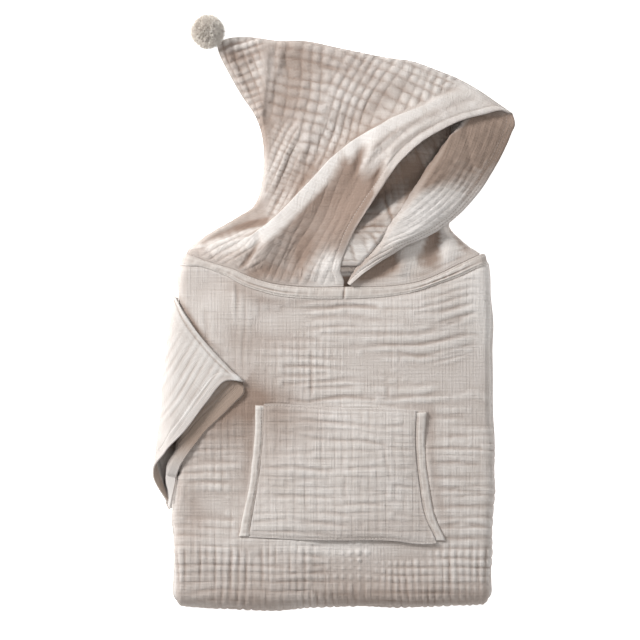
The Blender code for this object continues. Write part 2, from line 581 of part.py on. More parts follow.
def hood_right_neck(u):
    """Row 0: along the back neck, round the shoulder, back along the band, then the notch."""
    if u <= 0.34:
        t = u / 0.34
        x = 186.4 + (474 - 186.4) * t
        y = hermite(BACK_NECK, x)[0]
        z = hermite(((0, 20.95), (0.05, 21.4), (0.3, 22.4), (0.7, 22.4), (1, 20)), t)[0]
        return np.array([x, y, z])
    if u <= 0.44:
        t = (u - 0.34) / 0.10
        y = hermite(BACK_NECK, 474)[0]
        a = math.pi * t
        seat = neck_seat(474, -CLOTH / 2)
        low = np.array([474, y, 20.0])
        mid = (low + seat) / 2
        out = np.array([5.5, -1.6, 0]) * math.sin(a)
        return mid + (low - mid) * math.cos(a) + out
    if u <= 0.62:
        t = (u - 0.44) / 0.18
        return neck_seat(474 + (352 - 474) * t, -CLOTH / 2)
    table = [(0.62, *neck_seat(352, -CLOTH / 2)), (0.67, 347.8, 283.6, 38.4), (0.72, 348.2, 284, 40.2),
             (0.86, 349, 284.6, 41), (1.0, 350, 285.2, 41.6)]
    return hermite(table, u, True)


def hood_right_top(u):
    """Row 10: under the left panel's edge, all along the top seam."""
    table = ((0, 0), (0.34, 0.71), (0.39, 0.73), (0.44, 0.75), (0.62, 0.79), (0.67, 0.81), (0.72, 0.83), (1, 1))
    p = hermite(TOP_SEAM, float(np.interp(u, [row[0] for row in table], [row[1] for row in table])))
    return np.array([p[0], p[1], p[2] - GAP / 2 - CLOTH / 2])


def hood_right_point(u, v):
    p = hood_right_section(u, v).copy()
    low = 1 - smooth(v / 1.6)
    high = smooth((v - 8.4) / 1.6)
    if low > 0:
        p = p + (hood_right_neck(u) - hood_right_section(u, 0)) * low
    if high > 0:
        shift = hood_right_top(u) - hood_right_section(u, 10)
        p = p + shift * (high, high, smooth((v - 9.2) / 0.8) ** 1.6)
    return p


def build_hood_right():
    us = [0, .0096, .024, .043, .067, .12, .177, .235, .287, .34, .365, .39, .415, .44, .49, .53, .58, .62, .645, .67, .695, .72,
          .79, .86, .93, 1]
    vs = [0, .2, .4, .6, .8, 1, 1.2, 1.4, 1.6, 1.8, 2, 2.3, 2.6, 3, 3.5, 4, 4.6, 5.2, 5.8, 6.4, 7, 7.5, 8, 8.5, 9, 9.4, 9.7, 9.88, 10]
    mid = np.array([[hood_right_point(u, v) for u in us] for v in vs])
    n = grid_normals(mid)
    n[:, 0] = n[-1, :] = (0, 0, math.copysign(1, n[5, 2, 2]))
    outer, inner = mid + n * CLOTH / 2, mid - n * CLOTH / 2
    return sheet_solid("hood_right", outer, inner, (0.62, 0.55, 0.49))


# ---- sleeve ----
def sleeve_over(w, t):
    rows = []
    for k, (_, columns) in enumerate(SLEEVE_OVER):
        table = [(a, *c) for a, c in zip(SLEEVE_ACROSS, columns)]
        rows.append((k / 5, *hermite(table, w)))
    return hermite(rows, t)


def body_side(s, y, lift):
    """A point off the body's left side: s runs outward over the roll, then straight down."""
    left = plate_left(y)
    if s <= 0:
        return left - s, y, top_height(left - s, y) + lift
    a = s / SIDE_ROLL
    if a < math.pi / 2:
        return (left - (SIDE_ROLL + lift) * math.sin(a), y,
                PACK - SIDE_ROLL + (SIDE_ROLL + lift) * math.cos(a))
    return left - SIDE_ROLL - lift, y, PACK - SIDE_ROLL - (s - SIDE_ROLL * math.pi / 2)


def side_reach(x, y):
    over = plate_left(y) - x
    return over if over <= 0 else SIDE_ROLL * math.asin(min(over / (SIDE_ROLL + 1.0), 1.0))


def sleeve_under(w, t):
    """The layer against the body: up its side, over the roll, across to the mouth."""
    root, side = sleeve_over(w, 0), sleeve_over(w, 0.2)
    top, ty = hermite(SLEEVE_UNDER_TOP, w)
    mx, my = hermite(SLEEVE_UNDER_MOUTH, w)
    close = smooth((w - 0.8) / 0.2)
    down = PACK - SIDE_ROLL + SIDE_ROLL * math.pi / 2
    mouth = side_reach(mx, my) * (1 - close) + (down - 27.0) * close
    low = down - side[2] - 1
    rows = [(0.0, down - root[2] - 0.5, root[1] + 1), (0.18, low, side[1] + 1),
            (0.4, low + (top - low) * 0.52, side[1] + (ty - side[1]) * 0.5),
            (0.6, top, ty), (0.8, (top + mouth) / 2, (ty + my) / 2), (1.0, mouth, my)]
    reach, y = hermite(rows, t)
    return np.array(body_side(reach, y, GAP + 0.7 + 0.5 * close))


def build_sleeve():
    ts = [0, .1, .18, .24, .3, .35, .4, .45, .5, .55, .6, .7, .8, .9, .96, 1]
    ws = [0, .05, .12, .21, .3, .4, .5, .6, .7, .78, .86, .93, 1]

    def loop(inset):
        rings = []
        for t in ts:
            def pair(w):
                return sleeve_over(w, t), sleeve_under(w, t)
            ring_o, ring_u = [], []
            for w in ws:
                ww = 0.5 + (w - 0.5) * (0.86 + 0.09 * smooth((t - 0.8) / 0.2) if inset else 1.0)
                o, un = pair(ww)
                if inset:
                    e = 0.01
                    sides = []
                    for layer, way in ((sleeve_over, -1), (sleeve_under, 1)):
                        dw = layer(min(ww + e, 1), t) - layer(max(ww - e, 0), t)
                        dt = layer(ww, min(t + e, 1)) - layer(ww, max(t - e, 0))
                        n = np.cross(dw, dt) * way
                        sides.append(n / max(np.linalg.norm(n), 1e-9))
                    no, nu = sides
                    o, un = o - no * CLOTH, un - nu * CLOTH
                ring_o.append(o)
                ring_u.append(un)
            rings.append(ring_o + ring_u[::-1])
        return np.array(rings)
    outer, inner = loop(0), loop(1)
    rows, cols = outer.shape[:2]
    count = rows * cols
    verts = [tuple(p) for p in outer.reshape(-1, 3)] + [tuple(p) for p in inner.reshape(-1, 3)]
    faces = grid_faces(rows, cols, 0, True) + [tuple(reversed(f)) for f in grid_faces(rows, cols, count, True)]
    for j in (0, rows - 1):
        for i in range(cols):
            a, b = j * cols + i, j * cols + (i + 1) % cols
            faces.append((a, a + count, b + count, b))
    return add_object("sleeve", verts, faces, (0.70, 0.63, 0.57))


# ---- pocket and bindings ----
def pocket_lift(s, t):
    return POCKET_BELLY * (4 * s * (1 - s)) ** 0.7 * (4 * t * (1 - t)) ** 0.7


def build_pocket():
    outer, inner = [], []
    for j in range(13):
        t = j / 12
        row_o, row_i = [], []
        for i in range(15):
            s = i / 14
            y = 406 + (541 - 406) * t
            left, right = hermite(BINDING_LEFT, y)[1] + GAP, hermite(BINDING_RIGHT, y)[0] - GAP
            x = left + (right - left) * s
            y = hermite(POCKET_TOP, x)[0] * (1 - t) + hermite(POCKET_FOOT, x)[0] * t
            left, right = hermite(BINDING_LEFT, y)[1] + GAP, hermite(BINDING_RIGHT, y)[0] - GAP
            x = left + (right - left) * s
            z = top_height(x, y) + GAP + pocket_lift(s, t)
            row_i.append((x, y, z))
            row_o.append((x, y, z + CLOTH))
        outer.append(row_o)
        inner.append(row_i)
    return sheet_solid("pocket", np.array(outer), np.array(inner), (0.66, 0.59, 0.53))


def build_binding(name, table, rim):
    outer, inner = [], []
    for j in range(17):
        t = j / 16
        y0, y1 = table[0][0], table[-1][0]
        y = y0 + (y1 - y0) * t
        xa, xb = hermite(table, y)
        row_o, row_i = [], []
        for a in (0.0, 0.2, 0.5, 0.8, 1.0):
            x = xa + (xb - xa) * a
            z = top_height(x, y) + GAP
            round_off = 0.55 if a in (0.0, 1.0) else 1.0
            row_i.append((x, y, z))
            row_o.append((x, y, z + CLOTH * 0.6 + (CLOTH * 0.4 + BINDING_PROUD) * round_off))
        outer.append(row_o)
        inner.append(row_i)
    return sheet_solid(name, np.array(outer), np.array(inner), (0.69, 0.62, 0.56))


# ---- pompom: locks on a core ----
def build_pompom():
    rng = random.Random(7)
    cx, cy, cz = POMPOM_PLACE
    n = 4
    verts, faces, index = [], [], {}

    def add(p):
        verts.append((cx + p[0], cy - p[1], cz + p[2]))
        return len(verts) - 1

    def ball(face, a, b):
        a, b = math.tan(a * math.pi / 4), math.tan(b * math.pi / 4)
        p = ((1, a, b), (-1, -a, b), (-a, 1, b), (a, -1, b), (a, b, 1), (-a, b, -1))[face]
        p = np.array(p, float)
        return p / np.linalg.norm(p)

    def corner(d):
        key = tuple(np.round(d, 6))
        if key not in index:
            index[key] = add(d * POMPOM_CORE)
        return index[key]
    for face in range(6):
        for i in range(n):
            for j in range(n):
                quad = [ball(face, -1 + 2 * (i + a) / n, -1 + 2 * (j + b) / n)
                        for a, b in ((0, 0), (1, 0), (1, 1), (0, 1))]
                mid = sum(quad)
                mid = mid / np.linalg.norm(mid)
                core = [corner(d) for d in quad]
                root, waist = [], []
                reach = POMPOM_RADIUS - 0.9 * rng.random()
                for d in quad:
                    w = mid + (d - mid) * 0.86
                    w = w / np.linalg.norm(w)
                    root.append(add(w * POMPOM_CORE))
                    w = mid + (d - mid) * 0.8
                    w = w / np.linalg.norm(w)
                    waist.append(add(w * (POMPOM_CORE + (reach - POMPOM_CORE) * 0.72)))
                lean = np.array([rng.uniform(-1, 1) for _ in range(3)]) * 0.07
                tip = mid + lean
                tip = add(tip / np.linalg.norm(tip) * reach)
                for k in range(4):
                    m = (k + 1) % 4
                    faces.append((core[k], core[m], root[m], root[k]))
                    faces.append((root[k], root[m], waist[m], waist[k]))
                    faces.append((waist[k], waist[m], tip))
    return add_object("pompom", verts, faces, (0.66, 0.58, 0.50))


for old in list(bpy.data.objects):
    bpy.data.objects.remove(old, do_unlink=True)
build_layers()
build_front()
build_band()
build_hood_left()
build_hood_right()
build_sleeve()
build_pocket()
build_binding("pocket_binding_left", BINDING_LEFT, "left")
build_binding("pocket_binding_right", BINDING_RIGHT, "right")
build_pompom()
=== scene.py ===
import math
import bpy
import bmesh
import numpy as np
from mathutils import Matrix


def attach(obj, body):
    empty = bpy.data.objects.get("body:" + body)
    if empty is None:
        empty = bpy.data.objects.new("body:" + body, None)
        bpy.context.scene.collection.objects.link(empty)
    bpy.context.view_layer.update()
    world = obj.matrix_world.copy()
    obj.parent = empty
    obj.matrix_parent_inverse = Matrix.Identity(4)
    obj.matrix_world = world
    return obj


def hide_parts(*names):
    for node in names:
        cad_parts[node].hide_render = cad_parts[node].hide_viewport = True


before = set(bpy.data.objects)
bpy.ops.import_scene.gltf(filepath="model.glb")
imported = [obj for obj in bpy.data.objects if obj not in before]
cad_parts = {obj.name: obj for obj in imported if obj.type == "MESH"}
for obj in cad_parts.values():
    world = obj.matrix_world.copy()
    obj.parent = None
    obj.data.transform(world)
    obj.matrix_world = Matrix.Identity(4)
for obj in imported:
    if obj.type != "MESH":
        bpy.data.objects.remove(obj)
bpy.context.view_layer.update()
norm = np.linalg.norm

# plans are laid out in mm, x to the right and y down; the model's origin lies at gridOrigin
gridOrigin = (334, 312.5)
body = {
    "pack": 34, "belly": 2.4, "sideRoll": 8.5, "footRoll": 16.4, "shoulderReach": 10,
    "neckLobe": 8, "rollEnd": 150, "cloth": 1.8, "gap": 0.3, "bandProud": 0.9,
}
# side edges by y, x; the others by x, y
bodyLeft = (
    (248, 188), (264, 182), (276, 179.3), (290, 178.8), (310, 180), (360, 179.4), (440, 179), (480, 177),
    (505, 173.6), (518, 172.4), (532, 174), (560, 175), (590, 174.2)
)
bodyRight = (
    (255, 486), (264, 487.3), (276, 489), (300, 490.3), (324, 492), (348, 491), (372, 491.3), (420, 492),
    (445, 494),
    (468, 493), (492, 493), (516, 491), (550, 490.2), (590, 491)
)
bodyFoot = (
    (174, 607), (200, 608.8), (250, 609.8), (285, 608.8), (305, 606.8), (360, 606), (420, 606.5), (460, 606),
    (491, 605.2)
)
neckLowerLine = (
    (178, 265.2), (184, 265.6), (190, 265.8), (198, 266), (207, 268), (217, 272), (229, 277), (237, 282),
    (249, 287.5), (260, 291), (280, 296), (300, 298), (345, 298.6), (390, 296), (410, 292.6), (440, 283),
    (460, 276),
    (477, 268), (490, 263)
)
neckUpperLine = (
    (183, 253.2), (194, 256.6), (205, 260.8), (220, 265.4), (235, 270), (245, 274.6), (256, 279), (270, 283),
    (300, 286.8), (345, 287), (400, 285.2), (420, 281.6), (445, 271.4), (460, 264), (474, 257.6), (482, 254)
)
backNeckLine = (
    (186, 254), (220, 258.5), (262, 263.5), (300, 266), (345, 266.8), (390, 266), (430, 262), (460, 257.6),
    (478, 253.6)
)
layersEnd = (
    (170, 266), (190, 266.4), (240, 272.6), (300, 276), (345, 277), (400, 275.6), (440, 272), (480, 268),
    (500, 267)
)


# curves through the rows of a table, soft noise and listed strokes
def curve(table, t, tight=False):
    rows = np.asarray(table, float)
    knots, values = rows[:, 0], rows[:, 1:]
    slope = np.gradient(values, knots, axis=0)
    if tight:  # keeps the curve from swinging past its rows
        rise = np.diff(values, axis=0) / np.diff(knots)[:, None]
        a, b = rise[:-1], rise[1:]
        same = a * b > 0
        slope[1:-1] = np.where(same, 2 * a * b / np.where(same, a + b, 1), 0)
    t = np.clip(np.asarray(t, float), knots[0], knots[-1])
    i = np.clip(np.searchsorted(knots, t, side="right") - 1, 0, len(knots) - 2)
    h = (knots[i + 1] - knots[i])[..., None]
    s = ((t - knots[i])[..., None]) / h
    return ((2 * s**3 - 3 * s**2 + 1) * values[i] + (s**3 - 2 * s**2 + s) * h * slope[i]
            + (3 * s**2 - 2 * s**3) * values[i + 1] + (s**3 - s**2) * h * slope[i + 1])


def line(table, t):
    return curve(table, t)[..., 0]


def bell(t, width):
    return np.exp(-(t / width) ** 2)


def beside(*parts):
    return np.stack(np.broadcast_arrays(*parts), -1)


def fade(t, over=1):  # a soft step from 0 to 1
    t = np.clip(t / over, 0, 1)
    return t * t * (3 - 2 * t)


def cloud(x, y, seed):
    cells = np.random.RandomState(seed).rand(64, 64) * 2 - 1
    x, y = np.broadcast_arrays(np.asarray(x, float), np.asarray(y, float))
    ix, iy = np.floor(x).astype(int), np.floor(y).astype(int)
    fx, fy = fade(x - ix), fade(y - iy)
    low = cells[ix % 64, iy % 64] * (1 - fx) + cells[(ix + 1) % 64, iy % 64] * fx
    high = cells[ix % 64, (iy + 1) % 64] * (1 - fx) + cells[(ix + 1) % 64, (iy + 1) % 64] * fx
    return low * (1 - fy) + high * fy


def nearest(points, x, y):
    best = np.full(np.shape(x), 1e9)
    height, side, along = np.zeros(np.shape(x)), np.zeros(np.shape(x)), np.zeros(np.shape(x))
    run = 0
    for (ax, ay, ah), (bx, by, bh) in zip(points[:-1], points[1:]):
        dx, dy = bx - ax, by - ay
        long = math.hypot(dx, dy)
        t = np.clip(((x - ax) * dx + (y - ay) * dy) / long**2, 0, 1)
        ox, oy = x - ax - t * dx, y - ay - t * dy
        d = np.hypot(ox, oy)
        closer = d < best
        best = np.where(closer, d, best)
        height = np.where(closer, ah + (bh - ah) * t, height)
        side = np.where(closer, np.sign(dx * oy - dy * ox), side)
        along = np.where(closer, run + t * long, along)
        run += long
    return best, height, side, along


def ridges(lines, x, y):
    total = np.zeros(np.shape(x))
    for near, far, *points in lines:
        d, height, side, _ = nearest(points, x, y)
        total += height * bell(d, np.where(side > 0, far, near))
    return total


def creases(lines, x, y, seed=3):  # soft troughs with a low swell beside each, uneven along their length
    total = np.zeros(np.shape(x))
    for k, (depth, reach, *points) in enumerate(lines):
        n = len(points) - 1
        shaped = [(px, py, math.sin(math.pi * (0.12 + 0.76 * i / n)) ** 0.7)
                  for i, (px, py) in enumerate(points)]
        d, height, side, along = nearest(shaped, x, y)
        uneven = 1 + 0.45 * cloud(along / 11, np.full(np.shape(x), k * 1.7), seed)
        signed = d * side
        trough = -bell(d, reach)
        swell = 0.42 * bell(signed - 2.6 * reach, 1.9 * reach)
        swell += 0.30 * bell(signed + 2.4 * reach, 1.7 * reach)
        total += depth * height * uneven * (trough + swell)
    return total


def patch(x, y, cx, cy, rx, ry, turn=0):
    c, s = math.cos(math.radians(turn)), math.sin(math.radians(turn))
    dx, dy = x - cx, y - cy
    return np.exp(-(((dx * c + dy * s) / rx) ** 2 + ((-dx * s + dy * c) / ry) ** 2) ** 1.4)


def turned(x, y, angle):  # runs along and across a direction, in degrees up from the plan's x
    c, s = math.cos(math.radians(angle)), -math.sin(math.radians(angle))
    return x * c + y * s, -x * s + y * c


# double gauze: rounded swells between sharp tacked lines, in rows, in columns and in cells
def puckers(a, b, look, rows=1, columns=1, cells=1):
    seed = look["seed"]
    wander = look.get("wander", 1)
    bw = b + wander * (3 * cloud(a / 58, b / 24, seed) + 0.9 * cloud(a / 17, b / 40, seed + 1))
    aw = a + wander * (2.2 * cloud(a / 24, b / 62, seed + 2) + 0.7 * cloud(a / 40, b / 15, seed + 3))
    rowAt = bw / look["rowPitch"] + 0.55 * cloud(b / 31, b * 0 + 0.5, seed + 4)
    columnAt = aw / look["columnPitch"] + 0.55 * cloud(a / 29, a * 0 + 0.5, seed + 5)
    row = np.abs(np.sin(math.pi * rowAt)) ** look.get("round", 0.62)
    column = np.abs(np.sin(math.pi * columnAt)) ** look.get("round", 0.62)
    rowShow = fade(0.52 + 0.85 * cloud(a / look.get("rowRun", 46), b / 9, seed + 6))
    columnShow = fade(0.46 + 0.85 * cloud(a / 8, b / look.get("columnRun", 38), seed + 7))
    height = look["rowDepth"] * rows * rowShow * (row - 0.72)
    height = height + look["columnDepth"] * columns * columnShow * (column - 0.72)
    uneven = 1 + 0.55 * cloud(np.floor(rowAt) * 1.37, np.floor(columnAt) * 1.71, seed + 8)
    height = height + look["cellDepth"] * cells * uneven * (row * column - 0.5)
    return height + look.get("lump", 0.16) * cloud(a / 6, b / 4.6, seed + 9)


def place(points):
    points = np.asarray(points, float)
    return beside(points[..., 0] - gridOrigin[0], gridOrigin[1] - points[..., 1], points[..., 2]) * 0.001


def gridNormals(grid):
    n = np.cross(np.gradient(grid, axis=1), np.gradient(grid, axis=0))
    return n / np.maximum(norm(n, axis=2, keepdims=True), 1e-9)


def gridFaces(rows, columns, start=0, wrap=False):
    j, i = np.meshgrid(np.arange(rows - 1), np.arange(columns if wrap else columns - 1), indexing="ij")
    k = (i + 1) % columns
    quads = beside(start + j * columns + i, start + j * columns + k,
                      start + (j + 1) * columns + k, start + (j + 1) * columns + i)
    return quads.reshape(-1, 4)


def addObject(name, data):
    made = bpy.data.objects.new(name, data)
    bpy.context.scene.collection.objects.link(made)
    return made


# points in the plan's mm, laid is each point's place on its cloth in mm, then the painted shade from 0 to 1;
# below 0 it is painted highlight
def makePiece(name, points, faces, laid, paintedShade, finish, closed=False, merge=True):
    mesh = bpy.data.meshes.new(name)
    mesh.from_pydata(place(points).reshape(-1, 3).tolist(), [], [list(map(int, f)) for f in faces])
    # the painted shade rides along as the third value of laid
    stored = np.column_stack([np.asarray(laid, float).reshape(-1, 2), np.ravel(paintedShade)]).astype(np.float32)
    mesh.attributes.new("laid", "FLOAT_VECTOR", "POINT").data.foreach_set("vector", stored.ravel())
    work = bmesh.new()
    work.from_mesh(mesh)
    if merge:
        bmesh.ops.remove_doubles(work, verts=work.verts[:], dist=2e-6)
    bmesh.ops.dissolve_degenerate(work, edges=work.edges[:], dist=1e-7)
    bmesh.ops.recalc_face_normals(work, faces=work.faces[:])
    if not closed and sum(f.normal.z * f.calc_area() for f in work.faces) < 0:  # an open sheet faces up
        bmesh.ops.reverse_faces(work, faces=work.faces[:])
    work.to_mesh(mesh)
    work.free()
    mesh.shade_smooth()
    mesh.materials.append(finish)
    return addObject(name, mesh)


def thicken(piece, wall, offset=-1):
    made = piece.modifiers.new("wall", "SOLIDIFY")
    made.thickness, made.offset = wall * 0.001, offset


# painted crease shade: darker where the relief lies below its surroundings
def creaseShadeOf(relief, soft=0.5, spread=6):  # 1 in the creases' bottoms, against the mean height round about
    mean = relief.copy()
    for axis in range(2):
        wide = [(spread, spread) if k == axis else (0, 0) for k in (0, 1)]
        total = np.cumsum(np.pad(mean, wide, mode="edge"), axis=axis)
        total = np.concatenate([np.zeros_like(np.take(total, [0], axis=axis)), total], axis)
        ends = np.arange(2 * spread + 1, total.shape[axis]), np.arange(total.shape[axis] - 2 * spread - 1)
        mean = (np.take(total, ends[0], axis=axis) - np.take(total, ends[1], axis=axis)) / (2 * spread + 1)
    return fade(0.42 - (relief - mean) / (2 * soft))


def shaded(creaseShade, lines, x, y):  # painted shade: the creases' own shade and the broad shade strokes of the tables
    return 1 - (1 - 0.55 * creaseShade) * (1 - np.clip(ridges(lines, x, y), 0, 1))


def settle(piece, node=""):
    if node:
        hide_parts(node)
    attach(piece, "root")
    print("made", piece.name, len(piece.data.polygons), "faces")
    return piece


class Wire:  # a number socket, so that shader maths reads as maths
    def __init__(self, finish, outputs, pick):
        self.finish, self.outputs, self.socket = finish, outputs, outputs[pick]

    def also(self, pick):
        return Wire(self.finish, self.outputs, pick)

    def maths(self, operation, *values):
        return self.finish.node("ShaderNodeMath", {"operation": operation}, list(values))

    def __add__(self, other):
        return self.maths("ADD", self, other)

    def __sub__(self, other):
        return self.maths("SUBTRACT", self, other)

    def __rsub__(self, other):
        return self.maths("SUBTRACT", other, self)

    def __mul__(self, other):
        return self.maths("MULTIPLY", self, other)

    def sine(self):
        return self.maths("SINE", self)

    __radd__, __rmul__ = __add__, __mul__


class Finish:
    def __init__(self, name):
        self.material = bpy.data.materials.new(name)
        self.material.use_nodes = True
        self.tree = self.material.node_tree
        self.shader = self.tree.nodes["Principled BSDF"]

    def node(self, kind, settings, values, pick=0):
        made = self.tree.nodes.new(kind)
        for key, value in settings.items():
            if key == "stops":
                while len(made.color_ramp.elements) < len(value):
                    made.color_ramp.elements.new(0.5)
                for stop, (at, colour) in zip(made.color_ramp.elements, value):
                    stop.position, stop.color = at, (*colour, 1)
            else:
                setattr(made, key, value)
        for key, value in values.items() if isinstance(values, dict) else enumerate(values):
            self.feed(made.inputs[key], value)
        return Wire(self, made.outputs, pick)

    def feed(self, socket, value):
        if isinstance(value, Wire):
            self.tree.links.new(value.socket, socket)
        else:
            socket.default_value = value

    def blend(self, factor, first, second, way="MIX"):
        first, second = (c if isinstance(c, Wire) else (*c, 1) for c in (first, second))
        settings = {"data_type": "RGBA", "blend_type": way}
        return self.node("ShaderNodeMix", settings, {0: factor, 6: first, 7: second}, 2)

    def fix(self, values):
        for name, value in values.items():
            self.shader.inputs[name].default_value = value


def gauzeFinish(name, look):
    cloth = Finish(name)
    laid = cloth.node("ShaderNodeAttribute", {"attribute_name": "laid"}, [], "Vector")
    along = cloth.node("ShaderNodeSeparateXYZ", {}, [laid], "X")
    across, paintedShade = along.also("Y"), along.also("Z")

    def mottle(sx, sy, detail, shift=0):
        at = cloth.node("ShaderNodeCombineXYZ", {}, [along * sx, across * sy, shift])
        return cloth.node("ShaderNodeTexNoise", {}, {"Vector": at, "Scale": 1, "Detail": detail}, "Fac")
    sway = mottle(0.09, 0.09, 1)
    turn = 2 * math.pi / look["thread"]
    warp = (along * turn + sway * 7).sine()
    weft = (across * turn + sway * 9).sine()
    slubAlong, slubAcross = mottle(0.035, 0.75, 2, 3), mottle(0.75, 0.035, 2, 7)
    fluff = mottle(0.9, 0.9, 2, 11)
    weave = (warp * 0.5 + weft * 0.5) * 0.5 + (warp * weft) * 0.25
    tone = (slubAlong + slubAcross - 1) * look["slub"] + weave * look["weaveTone"]
    tone = tone + (mottle(0.028, 0.03, 2, 17) - 0.5) * look["cloudy"] + (fluff - 0.5) * 0.35
    step = 2 * math.pi / look["hatch"]
    hatch = ((along * step + sway * 6).sine() * mottle(0.06, 0.3, 1, 23)
             + (across * step * 0.93 + sway * 5).sine() * mottle(0.3, 0.06, 1, 29))
    # a negative painted shade lightens the tone: painted highlight
    tone = tone + hatch * look["hatchTone"] - paintedShade.maths("MINIMUM", paintedShade, 0) * 0.4
    plain = cloth.blend(tone + 0.5, look["dark"], look["light"])
    # the painted shade blends the cloth towards its deep shade colour
    deepShade = cloth.blend(1, plain, look["deepShade"], "MULTIPLY")
    cloth.feed(cloth.shader.inputs["Base Color"], cloth.blend(paintedShade * look["paintedShade"], plain, deepShade))
    height = weave * 0.45 + (slubAlong + slubAcross) * 1.3 + fluff * 0.5 + hatch * look["hatchRise"]
    raised = {"Strength": look["bump"], "Distance": 0.0006, "Height": height}
    cloth.feed(cloth.shader.inputs["Normal"], cloth.node("ShaderNodeBump", {}, raised, "Normal"))
    cloth.feed(cloth.shader.inputs["Roughness"], 0.95 - fluff * 0.1)
    cloth.fix({"Specular IOR Level": 0.15, "Sheen Weight": 0.12, "Sheen Roughness": 0.6})
    return cloth.material


# light and dark span the cloth's own tone; the last colour is the painted shade's colour, blended in at the
# strength given before it
gauze = {"thread": 1.5, "slub": 0.9, "weaveTone": 0.16, "cloudy": 0.85, "paintedShade": 1, "bump": 0.6,
         "hatch": 3.4, "hatchTone": 0.14, "hatchRise": 0.24,
         "light": (0.80, 0.762, 0.735), "dark": (0.655, 0.60, 0.555), "deepShade": (0.43, 0.338, 0.288)}
gauzeCloth = gauzeFinish("crinkledGauze", gauze)
# a paler, less pink copy for the sleeve: painted light, for the light the sleeve catches, with a warmer painted
# shade colour for its mouth
litSleeveCloth = gauzeFinish("litSleeveGauze", dict(gauze, hatchTone=0.06, hatchRise=0.1, cloudy=0.35, slub=0.6,
                                              deepShade=(0.46, 0.362, 0.30), light=(0.87, 0.855, 0.84),
                                              dark=(0.76, 0.735, 0.71)))
# the same gauze with stronger, warmer painted shade, for the hood's right panel
shadedInnerCloth = gauzeFinish("innerGauze", dict(gauze, paintedShade=1.15, deepShade=(0.47, 0.375, 0.32)))
bindingCloth = gauzeFinish("gauzeBinding", dict(gauze, slub=0.55, cloudy=0.35, bump=0.4,
                                                light=(0.81, 0.775, 0.74)))
sewingThread = gauzeFinish("sewingThread", dict(gauze, thread=0.8, slub=0.3, bump=0.2,
                                                light=(0.66, 0.61, 0.57), dark=(0.58, 0.53, 0.49)))
pompomYarn = gauzeFinish("pompomYarn", dict(gauze, thread=0.9, slub=0.8, paintedShade=0.95, light=(1, 0.96, 0.9),
                                            dark=(0.9, 0.83, 0.75), deepShade=(0.56, 0.48, 0.41)))
print("finishes ready")

threads = []  # paths sewn later: points, normals, painted shade, stitch length, thickness, step


# tone is the stitch's painted shade, given where a seam lies in shade
def sew(points, normals, tone=0, stitch=2.2, thick=0.25, step=3.1):
    threads.append((np.asarray(points, float), np.asarray(normals, float), tone, stitch, thick, step))


def neckLower(x):
    return line(neckLowerLine, x)


def plateLeft(y):
    return line(bodyLeft, y) + body["sideRoll"]


def plateRight(y):
    return line(bodyRight, y) - body["sideRoll"]


def plateFoot(x):
    return line(bodyFoot, x) - body["footRoll"]


def quarter(n):
    return [math.pi / 2 * k / n for k in range(n + 1)]


# columns round a rolled edge: base point, way out with its reach, roll radius, reach and unit way
def rollColumns(head, left, right, foot, tail, fan):
    r, rf = body["sideRoll"], body["footRoll"]

    def corner(p, side, angles):
        return [(p, (side * r * math.cos(a), rf * math.sin(a)), r + (rf - r) * math.sin(a) ** 2)
                for a in angles]
    columns = head + [(p, (-r, 0), r) for p in left[:-1]] + corner(left[-1], -1, fan)
    columns += [(p, (0, rf), rf) for p in foot[1:-1]] + corner(right[-1], 1, fan[::-1])
    columns += [(p, (r, 0), r) for p in right[-2::-1]] + tail
    base, out, radius = (np.array([c[k] for c in columns], float) for k in range(3))
    reach = norm(out, axis=1)
    return base, out, radius, reach, out / reach[:, None]


def topHeight(x, y):
    left, right, foot = plateLeft(y), plateRight(y), plateFoot(x)
    s = np.clip((x - left) / (right - left), 0, 1)
    t = np.clip((y - 264) / (foot - 264), 0, 1)
    z = body["pack"] + body["belly"] * (1 - (2 * s - 1) ** 4) * np.minimum(1, (1 - t) * 6)
    over = np.maximum(np.maximum(left - x, x - right), 0)
    r = body["sideRoll"]
    return np.where(over > 0, body["pack"] - r + np.sqrt(np.maximum(r**2 - over**2, 0)), z)


def topNormal(x, y):
    e = 0.5
    gx = (topHeight(x + e, y) - topHeight(x - e, y)) / (2 * e)
    gy = (topHeight(x, y + e) - topHeight(x, y - e)) / (2 * e)
    n = beside(-gx, -gy, np.ones(np.shape(gx)))
    return n / norm(n, axis=-1, keepdims=True)


# the pocket's edges by x, y; its bindings by y, left, right
pocketTop = (
    (250, 405), (275, 403.4), (300, 405), (345, 407.6), (381, 408), (407, 409.6), (430, 411.6)
)
pocketFoot = (
    (238, 537), (262, 538), (287, 539.6), (340, 541), (389, 541), (427, 544.4), (447, 542)
)
bindingLeft = (
    (405, 255, 263.4), (431, 254.4, 263.2), (458, 252, 261), (490, 248, 256.8), (512, 243.2, 252.8),
    (537.6, 238, 248.6)
)
bindingRight = (
    (411.6, 416.6, 427), (439, 415.6, 425.2), (462, 417, 426.4), (490, 420.4, 430.2), (515, 425, 435),
    (541.6, 437, 446.4)
)
frontLook = {"rowPitch": 9.4, "rowDepth": 1.2, "columnPitch": 7.4, "columnDepth": 0.68, "cellDepth": 0.7,
             "round": 0.5, "seed": 11, "across": 214, "down": 226, "roll": 18, "neckRoll": 6}
